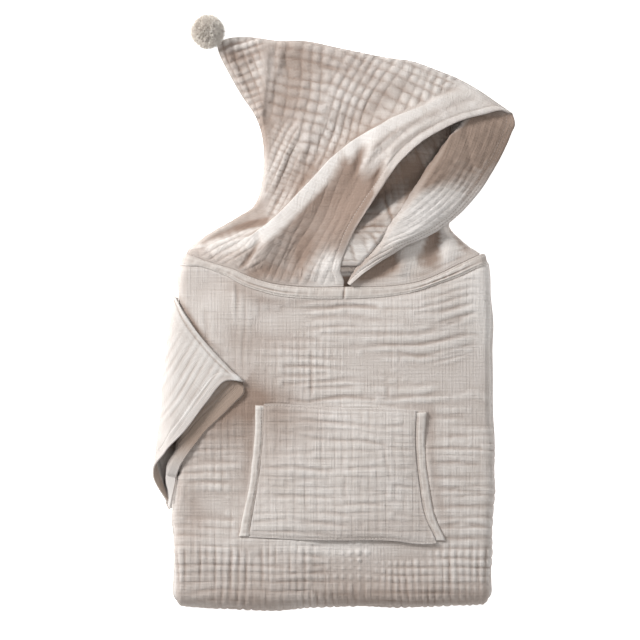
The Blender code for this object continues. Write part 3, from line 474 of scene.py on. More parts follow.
# creases: depth, reach, then the points that each runs through
frontCreases = (
    (1.5, 1.7, (282, 308), (306, 308.2), (330, 307.6), (345, 305.6), (376, 306.6)),
    (0.7, 1.6, (268, 320), (295, 318.4), (335, 315.7)), (0.6, 1.6, (352, 320), (378, 320.4), (400, 321)),
    (1.1, 1.7, (322, 334), (362, 333), (411, 332.4), (428, 330.7), (449, 324.2), (462, 320)),
    (0.8, 1.6, (282, 339.6), (306, 339.6), (336, 341.6)),
    (1, 1.7, (368, 343.6), (400, 344.8), (424, 343.7), (440, 340.5), (466, 332.5)),
    (0.9, 1.6, (284, 349.4), (308, 349.4)),
    (0.9, 1.7, (364, 353.5), (400, 353), (417, 355.7), (440, 357), (464, 351)),
    (0.9, 1.6, (284, 366.7), (306, 365.6), (324, 366.4)), (1.4, 1.7, (366, 366), (380, 365.4), (394, 366)),
    (0.8, 1.6, (420, 369), (444, 367.6), (466, 362.5)), (0.9, 1.6, (280, 375.4), (306, 375.4), (326, 374)),
    (1.4, 1.8, (284, 384), (306, 383), (330, 381.2), (346, 379.5), (362, 380.5), (384, 382)),
    (0.7, 1.7, (418, 386), (445, 382.8), (468, 378)), (0.7, 1.6, (300, 390.6), (335, 387.3), (352, 388)),
    (1.4, 1.8, (290, 400.6), (308, 402), (326, 398.6), (345, 396.6), (374, 399)),
    (1, 1.7, (384, 399.4), (404, 397), (428, 395.8), (464, 391.6)),
    (0.9, 1.8, (416, 314), (440, 310.6), (470, 305)),
    (0.8, 1.8, (430, 327), (456, 318), (474, 313)), (1.3, 2, (431, 417.5), (446, 417.5), (466, 415)),
    (0.8, 1.8, (430, 437), (456, 436), (478, 436)), (1.1, 1.8, (430, 448.8), (452, 447), (480, 448)),
    (1, 1.8, (432, 463), (456, 462), (478, 464)), (0.7, 1.8, (434, 478), (456, 477), (484, 478)),
    (1.1, 1.8, (432, 491), (452, 490), (482, 492)), (0.9, 1.8, (434, 507), (460, 506), (484, 508)),
    (1.1, 1.8, (442, 525.7), (462, 523), (484, 526)), (0.7, 1.8, (448, 541), (470, 539), (486, 541)),
    (1, 1.9, (196, 461), (214, 460.6), (236, 462)), (1.2, 1.9, (190, 483), (212, 482), (236, 484)),
    (0.7, 1.8, (198, 438), (220, 439), (244, 437)), (0.8, 1.8, (184, 500), (206, 502), (238, 501)),
    (1.2, 1.9, (186, 518), (212, 517), (232, 519)), (0.7, 1.9, (184, 552), (222, 553), (250, 551)),
    (0.9, 2, (330, 562), (360, 563), (396, 558), (424, 556)), (0.7, 2, (252, 566), (290, 568), (320, 566)),
    (0.6, 1.9, (206, 312), (207, 350), (210, 390)), (0.9, 1.6, (311.4, 352), (311.6, 376), (311, 396)),
    (1, 1.6, (388.6, 364), (387, 380), (388, 396)), (0.9, 1.6, (400, 352), (399, 376), (397.6, 392)),
    (0.7, 1.6, (237, 284), (238, 300), (237, 316)), (0.7, 1.7, (259, 300), (260, 316), (258, 336)),
    (0.9, 2, (232, 548), (229, 572), (230, 596)), (0.9, 2, (262, 552), (263, 574), (266, 600)),
    (0.8, 2, (304, 556), (306, 580), (305, 604)), (0.8, 2, (352, 570), (354, 588), (353, 606)),
    (0.8, 2, (446, 554), (449, 576), (448, 602)), (0.7, 2, (404, 566), (406, 584), (405, 606)),
    (0.9, 1.6, (306, 556), (336, 557), (376, 555)), (0.8, 1.6, (310, 572), (340, 571), (372, 572))
) + tuple((1.1, 1.5, (x, 547), (x + 1.2, 566), (x, 590)) for x in (314, 322, 329.5, 338, 346, 354.5, 362))

# painted shade strokes and ridges: reach on the near and the far side, then points with the strength at each
frontShades = (
    (22, 9, (236, 392, 0.6), (220, 412, 0.8), (204, 434, 0.65), (190, 456, 0.25), (180, 478, 0)),
    (4, 4, (262, 300, 0.2), (300, 302, 0.3), (350, 300, 0.2)),
    (24, 24, (246, 360, 0.2), (256, 394, 0.45), (300, 404, 0.25)),
    (18, 18, (228, 408, 0.3), (236, 440, 0.3), (226, 462, 0.15)),
    (16, 16, (262, 412, 0.3), (272, 430, 0.25), (266, 450, 0.15)),
    (18, 22, (200, 572, 0.2), (300, 574, 0.25), (420, 570, 0.2)),
    (6, 10, (250, 404, 0.5), (250, 450, 0.4), (240, 500, 0.2)),
    (6, 9, (432, 412, 0.4), (430, 450, 0.45), (438, 500, 0.4), (450, 530, 0.2)),
    (17, 30, (172, 600, 0.3), (250, 602, 0.6), (304, 600, 0.35), (344, 600, 0.6), (420, 600, 0.6),
     (492, 600, 0.5)),
    (7, 7, (240, 548, 0.2), (300, 552, 0.15), (380, 552, 0.15)),
    (16, 16, (180, 452, 0.1), (196, 520, 0.5), (182, 566, 0.1)),
    (8, 8, (236, 286, 0.5), (256, 297, 0.5), (278, 305, 0.2)),
    (13, 13, (238, 338, 0.3), (266, 342, 0.35), (302, 344, 0.25)),
    (12, 12, (262, 398, 0.35), (284, 400, 0.3)),
    (3.2, 3.2, (177, 296, 0.1), (184, 308, 0.8), (196, 328, 1), (206, 340, 0.7), (220, 352, 0.3))
)


def underCover(x, y):
    inside = np.minimum(x - curve(bindingLeft, y)[..., 0], curve(bindingRight, y)[..., 1] - x)
    pocket = fade(np.minimum(inside, np.minimum(y - line(pocketTop, x), line(pocketFoot, x) - y)) + 1.5, 3)
    neck = fade(neckLower(x) + 5 - y, 6)
    return np.maximum(pocket, neck)


def frontRelief(x, y):
    bend = 0.24 * np.maximum(x - 418, 0) * fade(500 - x, 30) * fade(420 - y, 40)
    rows = 0.35 + 0.65 * fade(x - 262, 30) + 0.1 * fade(y - 545, 15)
    rows = rows + 0.55 * fade(245 - x, 12) * fade(y - 430, 20)
    columns = 0.34 + 0.9 * fade(285 - x, 26) * fade(415 - y, 18) + 2 * fade(y - 541, 14)
    columns = columns + 0.5 * fade(245 - x, 10) * fade(y - 420, 14)
    cells = 0.25 + 0.9 * patch(x, y, 300, 362, 42, 34) + 1.3 * patch(x, y, 370, 566, 110, 30)
    cells = cells + 0.5 * fade(y - 541, 14) + 0.8 * patch(x, y, 214, 470, 30, 60)
    cells = cells + 0.5 * patch(x, y, 462, 470, 30, 70)
    calm = 1 - 0.72 * patch(x, y, 196, 300, 34, 42) - 0.3 * patch(x, y, 232, 300, 30, 20)
    relief = puckers(x, y + bend, frontLook, rows, columns, cells) * calm
    relief = relief + 0.85 * creases(frontCreases, x, y)
    broad = 2.6 * cloud(x / 70, y / 46, 21) + 0.8 * cloud(x / 30, y / 22, 22)
    return np.maximum((relief + broad) * (1 - underCover(x, y)), -1.4)


def spanned(low, high, left, right, s, t):  # a plan stretched between four edges
    return ((1 - t) * low[None] + t * high[None] + (1 - s) * left[:, None] + s * right[:, None]
            - (1 - s) * (1 - t) * low[0] - s * (1 - t) * low[-1] - (1 - s) * t * high[0] - s * t * high[-1])


def makeFront():
    nx, ny = frontLook["across"], frontLook["down"]
    leftTop, rightTop = float(neckLower(plateLeft(267))) - 2, 266.2
    footLeft, footRight = ((float(side(592)), float(plateFoot(side(592)))) for side in (plateLeft, plateRight))
    s, t = np.linspace(0, 1, nx + 1), np.linspace(0, 1, ny + 1)
    leftY = leftTop + (footLeft[1] - leftTop) * t
    rightY = rightTop + (footRight[1] - rightTop) * t
    left, right = beside(plateLeft(leftY), leftY), beside(plateRight(rightY), rightY)
    footX = footLeft[0] + (footRight[0] - footLeft[0]) * s
    foot = beside(footX, plateFoot(footX))
    topX = left[0, 0] + (right[0, 0] - left[0, 0]) * s
    top = beside(topX, neckLower(topX) - 2)
    top[0], top[-1] = left[0], right[0]
    plan = spanned(top, foot, left, right, s[None, :, None], t[:, None, None])
    x, y = plan[..., 0], plan[..., 1]
    z = topHeight(x, y)
    z[:, 0] = z[:, -1] = z[-1] = body["pack"]
    z = z - 1.5 * fade(neckLower(x) + 0.6 - y, 2.6)
    relief = frontRelief(x, y)
    normal = topNormal(x, y)
    normal[:, 0] = normal[:, -1] = normal[-1] = (0, 0, 1)
    plate = beside(x, y, z) + normal * relief[..., None]

    r = body["sideRoll"]
    head = [(left[0], (-r * math.cos(a), -frontLook["neckRoll"] * math.sin(a)), r) for a in quarter(4)[2:0:-1]]
    tail = [(right[0], (r * math.cos(a), -body["shoulderReach"] * math.sin(a)), r) for a in quarter(8)[1:8]]
    base, out, radius, reach, way = rollColumns(head, left, right, foot, tail, quarter(14))
    n = frontLook["roll"]
    steps = [(i / n, 0) for i in range(n + 1)] + [(1, 0.9), (0.985, body["cloth"]), (0.9, body["cloth"])]
    rings, laid, hollows = [], [], []
    for share, inset in steps:
        a = math.radians(body["rollEnd"]) * share
        arc = radius * a
        cx, cy = base[:, 0] + way[:, 0] * arc, base[:, 1] + way[:, 1] * arc
        h = frontRelief(cx, cy) * (1 if inset == 0 else 0)
        grow = (radius + h - inset) / radius
        x, y = (base[:, k] + out[:, k] * math.sin(a) * (reach + h - inset) / reach for k in (0, 1))
        rings.append(beside(x, y, body["pack"] - radius + radius * grow * math.cos(a)))
        laid.append(beside(cx, cy))
        hollows.append(h)
    rings = np.array(rings)
    points = np.concatenate([plate.reshape(-1, 3), rings.reshape(-1, 3)])
    faces = np.concatenate([gridFaces(ny + 1, nx + 1), gridFaces(len(rings), len(base), (ny + 1) * (nx + 1))])
    laid = np.concatenate([plan.reshape(-1, 2), np.array(laid).reshape(-1, 2)])
    # painted crease shade and painted shade strokes, less two painted highlight patches: at the right shoulder
    # and below the pocket's foot
    creaseShade = 1.25 * np.concatenate([creaseShadeOf(relief, 1.3).ravel(), creaseShadeOf(np.array(hollows), 1.3).ravel()])
    x, y = laid.T
    paintedShade = shaded(creaseShade, frontShades, x, y) - 0.7 * patch(x, y, 488, 300, 20, 40)
    paintedShade = paintedShade - 0.5 * patch(x, y, 330, 549, 52, 8)
    piece = makePiece("bodyFront", points, faces, laid, paintedShade, gauzeCloth)
    return settle(piece, "front")


front = makeFront()


# the layers folded in behind the front: two soft folds at each side, one at the foot
layersLook = {"side": 150, "foot": 120, "neck": 120, "fan": 10, "wobble": 0.8, "groove": 3.6}


def makeLayers():
    r, rf, lobe = body["sideRoll"], body["footRoll"], body["neckLobe"]
    inset = body["cloth"] + 0.4
    startY = float(neckLower(plateLeft(267))) + body["gap"]
    y0 = np.linspace(startY, float(plateFoot(plateLeft(592))), layersLook["side"])
    left = beside(plateLeft(y0), y0)
    y1 = np.linspace(267.6, float(plateFoot(plateRight(592))), layersLook["side"])
    right = beside(plateRight(y1), y1)
    xs = np.linspace(left[-1, 0], right[-1, 0], layersLook["foot"])
    foot = beside(xs, plateFoot(xs))
    xt = np.linspace(right[0, 0], left[0, 0], layersLook["neck"])[1:-1]
    fan = quarter(layersLook["fan"])
    tail = [(right[0], (r * math.cos(a), -lobe * math.sin(a)), r) for a in fan[1:]]
    tail += [((x, float(line(layersEnd, x))), (0, -lobe), r) for x in xt]
    tail += [(left[0], (-r * math.cos(a), -lobe * math.sin(a)), r) for a in fan[:0:-1]]
    base, out, radius, reach, way = rollColumns([], left, right, foot, tail, fan)
    run = np.concatenate([[0], np.cumsum(np.hypot(*np.diff(base + out, axis=0).T))])
    end = math.radians(body["rollEnd"])
    edge = body["pack"] - radius + radius * math.cos(end) - body["gap"] - 0.1
    footness = np.clip((radius - r) / (rf - r), 0, 1)
    slot = reach * math.sin(end) - inset
    spread = (reach - slot) * (1 - footness) + 3.2 * footness - 0.4
    rings, laid = [], []

    def ring(outward, height, fall):
        rings.append(beside(base[:, 0] + way[:, 0] * outward, base[:, 1] + way[:, 1] * outward, height))
        laid.append(beside(run, np.full(len(run), fall)))
    for k in range(7):
        a = end * k / 6
        ring((reach - inset) * math.sin(a), body["pack"] - radius + (radius - inset) * math.cos(a), -40 + 3 * k)
    ring(slot, rings[-1][:, 2], -18)
    split = 0.5 + 0.1 * np.sin(run / 37)  # where the upper fold ends and the lower one starts
    for tier, (high, low) in enumerate(((1, split), (split, 0))):
        wobble = layersLook["wobble"] * cloud(run / 26, run * 0 + tier * 3.3, 31 + tier) * (1 - footness)
        for k in range(13):
            a = math.pi * k / 12
            mid, half = edge * (high + low) / 2, edge * (high - low) / 2
            groove = layersLook["groove"]
            if (tier, k) in ((0, 12), (1, 0)):  # where the two folds meet
                groove = groove - groove * (1 - footness)
            groove = groove * (1 - footness) * (0.5 if 6 < tier * 12 + k < 18 else 0)
            ring(slot + (spread - (0 if tier else 0.9)) * math.sin(a) ** 0.8 + wobble * math.sin(a) + groove,
                 mid + half * math.cos(a), -16 + 16 * tier + k * 1.3)
    rings = np.array(rings)
    count = len(base)
    faces = [list(f) for f in gridFaces(len(rings), count, 0, True)]
    faces.append(list(range(count)))
    faces.append(list(range((len(rings) - 1) * count, len(rings) * count))[::-1])
    laid = np.array(laid).reshape(-1, 2)
    relief = puckers(laid[:, 0], laid[:, 1], dict(frontLook, seed=37, cellDepth=0.4)) * 0.4
    # painted crease shade
    paintedShade = np.clip(-relief, 0, 1)
    paintedShade[:count] = 1  # painted full shade on the top, which shows only in the dark hole at the neck
    piece = makePiece("foldedLayers", rings, faces, laid, paintedShade, gauzeCloth, closed=True)
    return settle(piece, "folded_layers")


makeLayers()


bandLook = {"stations": 420, "across": 25, "proud": 1.7, "seamAt": 344, "lower": (181, 486.4),
            "upper": (185.4, 484), "stitchLow": 0.17, "stitchHigh": 0.83}


def makeBand():
    look = bandLook
    xl = np.linspace(*look["lower"], look["stations"])
    start, end = look["upper"]
    xu = start + (end - start) * (xl - xl[0]) / (xl[-1] - xl[0])
    lower = beside(xl, neckLower(xl) + 0.7)
    upper = beside(xu, line(neckUpperLine, xu) - 0.3)
    across = np.linspace(0, 1, look["across"])
    plan = lower[:, None] + (upper - lower)[:, None] * across[None, :, None]
    x, y = plan[..., 0], plan[..., 1]
    aAll = np.broadcast_to(across[None], x.shape)
    crown = 1 - np.abs(2 * aAll - 1) ** 5
    stitchLine = bell(aAll - look["stitchLow"], 0.06) + 0.8 * bell(aAll - look["stitchHigh"], 0.06)
    run = xl[:, None] + 0 * aAll
    ripple = 0.28 * cloud(run / 3.4, aAll * 2.2, 41) + 0.18 * cloud(run / 9, aAll * 1.4, 42)
    seam = bell(x - look["seamAt"] - (aAll - 0.5) * 1.2, 0.9)
    side = bell(x - 264, 30) + bell(x - 442, 30)
    h = look["proud"] * crown - 0.5 * stitchLine + ripple * crown - 0.9 * seam
    h = h + 0.7 * side * crown * (1 - stitchLine)
    h = h - 1.1 * side * bell(aAll - 0.42, 0.08) + 0.3 * cloud(run / 16, aAll * 1.6, 43) * crown
    h = np.where(aAll <= 0, -0.6, np.where(aAll >= 1, 0.1, h))
    normals = topNormal(x, y)
    points = beside(x, y, topHeight(x, y)) + normals * h[..., None]
    for at in (look["stitchLow"], look["stitchHigh"]):
        k = int(at * (look["across"] - 1) + 0.5)
        sew(points[4:-4, k], normals[4:-4, k])
    laid = beside(run, aAll * 11 + 400)
    # painted crease shade, and the band made darker round x 252
    piece = makePiece("neckBand", points, gridFaces(*x.shape), laid,
                      np.maximum(creaseShadeOf(h - 0.9, 1.2), 0.35 * bell(x - 252, 26)), bindingCloth)
    return settle(piece, "neck_band")


makeBand()


# the hood's edges by row, from 0 at the neck to 10 at the top
# seams and rims: row, x, y, height
backSeam = (
    (0, 186, 254, 22), (0.6, 188, 250, 16), (1, 191, 247, 12.5), (1.6, 199, 241, 9), (2.2, 214, 230.5, 7),
    (2.8, 235, 219, 5.5), (3.4, 251, 209.5, 4), (4, 257.5, 199, 3), (5, 262.5, 178, 2.6), (6, 264, 157, 2.5),
    (7, 260.5, 130, 2.5), (7.6, 254, 114, 2.5), (8.2, 243, 98, 3.2), (9, 229, 74, 6.5), (9.6, 219.6, 55, 9.5),
    (10, 216.6, 43.6, 11)
)
topSeam = (
    (0, 216.6, 43.6, 11), (0.05, 227, 38.6, 9), (0.12, 249, 37, 6), (0.2, 278, 40.6, 4), (0.28, 305, 41, 3),
    (0.38, 340, 48, 3), (0.5, 384, 57, 3.4), (0.6, 414, 61.6, 4.2), (0.68, 436, 69.6, 5.6),
    (0.76, 459, 79, 8),
    (0.84, 479, 90.6, 11), (0.92, 497, 103, 15.5), (1, 512.5, 113.4, 20)
)
nearRim = (
    (0, 344.2, 286.6, 38), (0.3, 344.6, 281, 39.6), (0.7, 340.6, 271, 41.6), (1.2, 342.5, 260, 44),
    (2, 348, 246, 46.5), (3, 353.5, 233, 48.5), (4, 362, 218, 50), (5, 375.4, 197.5, 51),
    (5.6, 383.2, 186, 51),
    (6.2, 390.4, 174.6, 50.4), (7, 404, 157, 48), (7.7, 421.6, 141.6, 45), (8.3, 440, 130.4, 41.5),
    (9, 464.5, 119.4, 37), (9.5, 484, 114.6, 31), (9.8, 502, 110.4, 25.6), (10, 512.5, 113.4, 21.9)
)
farRim = (
    (0, 350, 285.2, 41.4), (0.5, 356.4, 279.4, 41.6), (1, 364, 273, 42.2), (1.5, 373.4, 266.2, 43),
    (2, 384.4, 258.8, 43.8), (2.5, 394.8, 252.6, 44.4), (3, 405, 245.8, 44.4), (3.5, 419, 240.2, 43.8),
    (4, 433, 233.4, 42), (4.5, 447, 224.4, 39.4), (5, 458.4, 215, 36.6), (6, 478, 193.4, 31.6),
    (7, 492, 172.4, 28),
    (8, 504, 150.4, 25.4), (9, 511.5, 133, 23), (9.6, 515, 123, 21.6), (10, 512.5, 113.4, 19)
)
# the lapel's ridge and the base fold: row, x, y, height under the fold, height over it
lapelRidge = (
    (0, 347.6, 283.4, 37, 40.2), (0.5, 351.4, 275.4, 36.6, 40.6), (1, 356.8, 267.6, 35.8, 41.6),
    (1.5, 363, 260.4, 34.8, 44), (2, 370.5, 252, 33.6, 46.6), (3, 381.5, 238, 33, 48.8),
    (4, 391.5, 222.6, 32, 50),
    (5, 403.6, 206, 31, 50.2), (6, 414.6, 188.6, 29, 48), (7, 426, 170, 26, 44.4), (8, 441.5, 149, 21, 39),
    (9, 458.4, 122.6, 14, 31), (10, 468, 84.4, 6, 9)
)
baseFold = (
    (0, 479, 253.6, 20, 31), (1, 464, 243, 11, 30), (2, 450, 229.6, 4, 27), (3, 449, 218, 1.8, 23.6),
    (4, 449, 207.6, 1.2, 22), (5, 449, 196.6, 1.2, 21), (6, 450, 184.6, 1.2, 19.6), (7, 452, 169, 1.2, 17.6),
    (8, 455, 152, 1.2, 14), (9, 446, 127, 1.2, 6), (10, 444, 73, 5, 6.6)
)
floorRise = (
    (0, 22.4), (0.5, 17.6), (1, 11.4), (1.5, 6.8), (2, 3.4), (2.6, 1.6), (3.2, 1.2), (10, 1.2)
)
# the left panel's height, by row and across it
hoodColumns = (0, 0.05, 0.25, 0.5, 0.75, 1)
hoodRise = (
    (0, 24, 28, 33.5, 36.4, 37.4, 38), (1, 14.5, 20, 30, 35, 38.6, 42.6), (2, 9, 15, 26, 34, 41.4, 46.5),
    (3, 7, 12, 23, 33.4, 43, 48.6), (4, 5, 10, 20, 31.6, 43.6, 50), (5, 4.6, 9.4, 19, 29.6, 42.6, 51),
    (6, 4.5, 9.2, 19, 28.4, 40, 50.6), (7, 4.5, 9, 18.6, 26.8, 36.6, 48), (8, 5, 9, 17, 24.6, 32.6, 43.4),
    (9, 8.5, 11, 14.6, 20, 27, 36.6), (9.6, 11.5, 13.4, 13, 15, 20, 29), (10, 13, 11, 5.4, 5.4, 9.6, 21.9)
)
hoodRidges = (
    (4.6, 9, (196, 242, 1.6), (214, 239.4, 3), (236, 238, 3.4), (254, 235, 2)),
    (3.6, 8, (268, 44, 1.2), (266.4, 60, 3), (266, 76, 3.4), (263, 99, 3.2), (261, 121, 2.2), (261, 140, 1)),
    (3.6, 6, (282, 50, 0.8), (278, 64, 1.8), (273, 82, 2), (267, 105, 1)),
    (4, 5, (266, 198, 0.8), (276, 172, 1.8), (286, 150, 2.2), (300, 122, 1.2)),
    (3.6, 4.6, (286, 188, 0.8), (298, 162, 1.8), (310, 134, 1.2)),
    (5, 8, (262, 262, 1.4), (268, 244, 2.6), (280, 228, 1.6)),
    (21, 17, (286, 276, -3.4), (298, 254, -5), (316, 226, -6), (334, 200, -6.4), (350, 178, -5),
     (358, 164, -2.4)),
    (1.3, 24, (300, 288, 3.6), (300.6, 276, 3.6), (301.6, 266, 2.4), (303, 256, 0.6)),
    (4, 6, (250, 268, 1.6), (256, 254, 2.2), (264, 240, 1.6)),
    (5, 5, (384, 132, 0.8), (374, 146, 1.7), (368, 162, 2.2), (364, 176, 0.8)),
    (3.4, 3.4, (394, 150, 0.8), (387, 164, 2.2), (382, 178, 1)),
    (4.4, 4.4, (366, 140, -0.6), (361, 152, -3), (357, 164, -3.4)),
    (3.6, 3.6, (382, 166, -1), (378, 174, -2.6), (374, 184, -1.6)),
    (15, 15, (274, 205, -2), (296, 176, -3.6), (322, 148, -4.4), (352, 124, -4.4), (392, 102, -3.2),
     (430, 86, -1.6)),
    (4, 5, (228, 262, 0.8), (240, 252, 1.6), (250, 243, 1.2))
)
# the fold's edge that stands over the hood's field, with its height and how far it overhangs
crestLine = (
    (214, 246, 0.2), (228, 243.6, 0.8), (240, 242, 2), (254, 239, 3.6), (264, 233.6, 5.4), (271.5, 228, 6.2),
    (280, 220, 7), (288, 212, 7.6), (300, 199.6, 8.4), (311, 188, 8.8), (322, 176.4, 9), (333, 163.6, 9.2),
    (343, 154.6, 8), (353, 147, 6.6), (362, 141.4, 5.4), (373, 134.4, 4.6), (383, 128.8, 4.2),
    (392, 122.4, 3.8),
    (402, 118, 3.4), (412, 113.6, 3), (424, 108, 2.4), (440, 99, 1.8), (454, 92, 1), (470, 85, 0.2)
)
crestLook = {"near": 3.4, "flat": 4, "fall": 36, "overhang": 6, "at": 1, "reach": 4.2, "shade": 1}
hoodCreases = (
    (1.5, 1.9, (316, 67), (332, 68.4), (352, 71)), (1.2, 1.7, (348, 54), (362, 60), (366, 67), (382, 70)),
    (0.9, 1.6, (220, 60.4), (228, 59.6), (235, 58.6)), (1.2, 1.6, (231, 73), (242, 69.4), (255, 64.6)),
    (1.1, 1.6, (233, 81.4), (241, 77.8), (250, 73.6)), (1.1, 1.6, (240, 96.4), (248, 93), (257, 89.4)),
    (0.9, 1.5, (249.4, 52), (251, 62), (254.6, 74)), (1.6, 2.2, (222, 45.6), (232, 41.8), (246, 39.4)),
    (2.2, 3, (204, 243), (214, 238.4), (226, 234), (240, 228), (256, 224.4), (266, 223)),
    (1.8, 2.2, (238, 270), (246, 262), (252, 254), (261, 239)),
    (1.5, 2.4, (349, 190), (356, 172), (366, 152)),
    (1.3, 2.2, (370, 192), (377, 179), (385, 166)), (1.7, 2.2, (302, 258), (301.6, 268), (300, 281)),
    (1, 2, (284, 268), (290, 252), (300, 236)), (0.9, 2, (318, 276), (322, 262), (330, 246)),
    (0.9, 1.8, (344, 206), (352, 192), (360, 176)), (0.8, 1.8, (330, 250), (334, 232), (342, 216)),
    (0.6, 2.6, (394, 142), (412, 128), (436, 114)), (0.6, 2.6, (400, 150), (418, 134), (440, 121)),
    (0.5, 2.6, (384, 150), (398, 134), (420, 120)), (0.6, 2.4, (360, 178), (372, 158), (386, 146)),
    (0.6, 2.6, (448, 108), (466, 100), (486, 99)), (0.5, 2.6, (440, 92), (456, 90), (474, 92)),
    (0.5, 2.6, (420, 100), (444, 92), (462, 84)), (1, 1.8, (270, 216), (276, 204), (284, 190)),
    (1, 1.8, (266, 190), (272, 176), (280, 160)), (1, 1.8, (290, 206), (300, 186), (312, 164)),
    (1.1, 1.8, (304, 184), (316, 160), (326, 142))
)
hoodShades = (
    (22, 22, (288, 54, 0.4), (294, 80, 0.55), (290, 104, 0.5), (284, 132, 0.3), (280, 160, 0.1)),
    (9, 9, (262, 126, 0.3), (264, 146, 0.55), (268, 160, 0.2)),
    (9, 9, (350, 124, 0.3), (366, 112, 0.4), (384, 98, 0.4), (402, 88, 0.2)),
    (8, 8, (306, 234, 0.5), (302, 252, 0.65), (296, 272, 0.5)),
    (12, 12, (302, 164, 0.4), (284, 184, 0.5), (270, 204, 0.3)),
    (9, 9, (322, 148, 0.25), (310, 168, 0.35), (300, 184, 0.4)),
    (7, 7, (224, 52, 0.4), (236, 57, 0.6), (250, 58, 0.5), (258, 50, 0.4)),
    (9, 9, (236, 76, 0.2), (248, 84, 0.3), (256, 98, 0.2)),
    (5, 9, (284, 208, 0.2), (302, 186, 0.45), (324, 160, 0.45), (346, 140, 0.4), (372, 124, 0.3),
     (396, 110, 0.2)),
    (18, 10, (300, 242, 0.4), (286, 252, 0.5), (270, 264, 0.5), (252, 273, 0.45)),
    (8, 13, (345, 164, 0.7), (347, 174, 0.95), (350, 186, 1)),
    (21, 16, (354, 188, 0.95), (353, 202, 1), (346, 216, 0.9), (334, 236, 0.7), (314, 252, 0.5)),
    (4, 5, (365, 145, 0.5), (361.5, 152, 0.9), (358.5, 160, 1), (354, 170, 1)),
    (3.2, 3.2, (383.5, 162, 0.4), (379, 170, 0.85), (374, 179, 1), (367, 190, 0.9)),
    (3, 3, (345, 156, 0.7), (343, 162, 0.7)), (16, 16, (232, 62, 0.35), (258, 84, 0.2), (262, 120, 0.3)),
    (22, 20, (276, 50, 0.3), (320, 60, 0.5), (352, 66, 0.45), (396, 84, 0.15), (420, 92, 0.1)),
    (26, 26, (276, 110, 0.25), (300, 104, 0.2), (360, 112, 0.15)),
    (6.5, 6.5, (206, 232, 0.3), (224, 222, 0.55), (244, 214, 0.6), (258, 206, 0.5)),
    (8, 8, (250, 277, 0.4), (266, 270, 0.5), (284, 276, 0.5)),
    (2.8, 4, (198, 243, 0.3), (214, 236, 0.5), (232, 229, 0.7), (248, 225, 0.95), (264, 222, 0.95),
     (272, 216, 0.5)),
    (1.7, 2.2, (240, 268, 0.4), (250, 254, 0.7), (261, 239, 0.4)),
    (3, 3, (352, 141, 0.4), (372, 129, 0.45), (396, 117, 0.4), (424, 104, 0.25)),
    (2.6, 2.6, (374, 148, 0.35), (392, 134, 0.4), (416, 121, 0.35), (440, 110, 0.2)),
    (2.4, 2.4, (394, 150, 0.3), (410, 137, 0.35), (430, 126, 0.25)),
    (6, 5, (238, 226, 0.3), (250, 222, 0.6), (262, 218, 0.6))
)
hoodField = {"rowPitch": 9.8, "rowDepth": 0.7, "columnPitch": 10.2, "columnDepth": 0.6, "cellDepth": 1.6,
             "seed": 51, "wander": 1.6, "lump": 0.42, "round": 0.4}
hoodTail = {"rowPitch": 8.2, "rowDepth": 2.2, "columnPitch": 8.6, "columnDepth": 0.8, "cellDepth": 2,
            "seed": 57, "round": 0.5}
hoodBand = {"rowPitch": 8, "rowDepth": 0.55, "columnPitch": 9, "columnDepth": 0.5, "cellDepth": 0.6, "seed": 63,
            "rowRun": 50}
hoodShoulder = {"rowPitch": 5.6, "rowDepth": 0.8, "columnPitch": 9, "columnDepth": 0.4, "cellDepth": 0.5,
                "seed": 69}
troughShadeRows = (
    (150, 0), (166, 0), (180, 0.7), (192, 0.95), (214, 0.9), (236, 0.72), (256, 0.42), (280, 0.3)
)
hoodLook = {"across": 208, "up": 196, "wall": 1.4, "hem": 8.6, "roll": 5.5, "sewnDown": 0.3,
            "neck": (186.4, 343.4)}


def neckHeight(x, y):
    return topHeight(x, y) + body["bandProud"] * 0.5


def neckSeat(x, lift=0):
    x = np.asarray(x, float)
    y = line(neckUpperLine, x) - body["gap"] - 0.15
    return beside(x, y, neckHeight(x, y) + lift)


def crestSide(x, y):
    d, height, side, along = nearest(crestLine, x, y)
    return d * side, height, along


def hoodLeftBase(u, v):
    start, end = hoodLook["neck"]
    bottom = neckSeat(start + (end - start) * u)[:, :2]
    top, left, right = (curve(table, at)[:, :2] for table, at in ((topSeam, u), (backSeam, v), (nearRim, v)))
    left = left + (bottom[0] - left[0]) * (1 - fade(v))[:, None]
    right = right + (bottom[-1] - right[0]) * (1 - fade(v))[:, None]
    plan = spanned(bottom, top, left, right, u[None, :, None], (v / 10)[:, None, None])
    return plan, curve(np.column_stack([hoodColumns, curve(hoodRise, v).T]), u).T


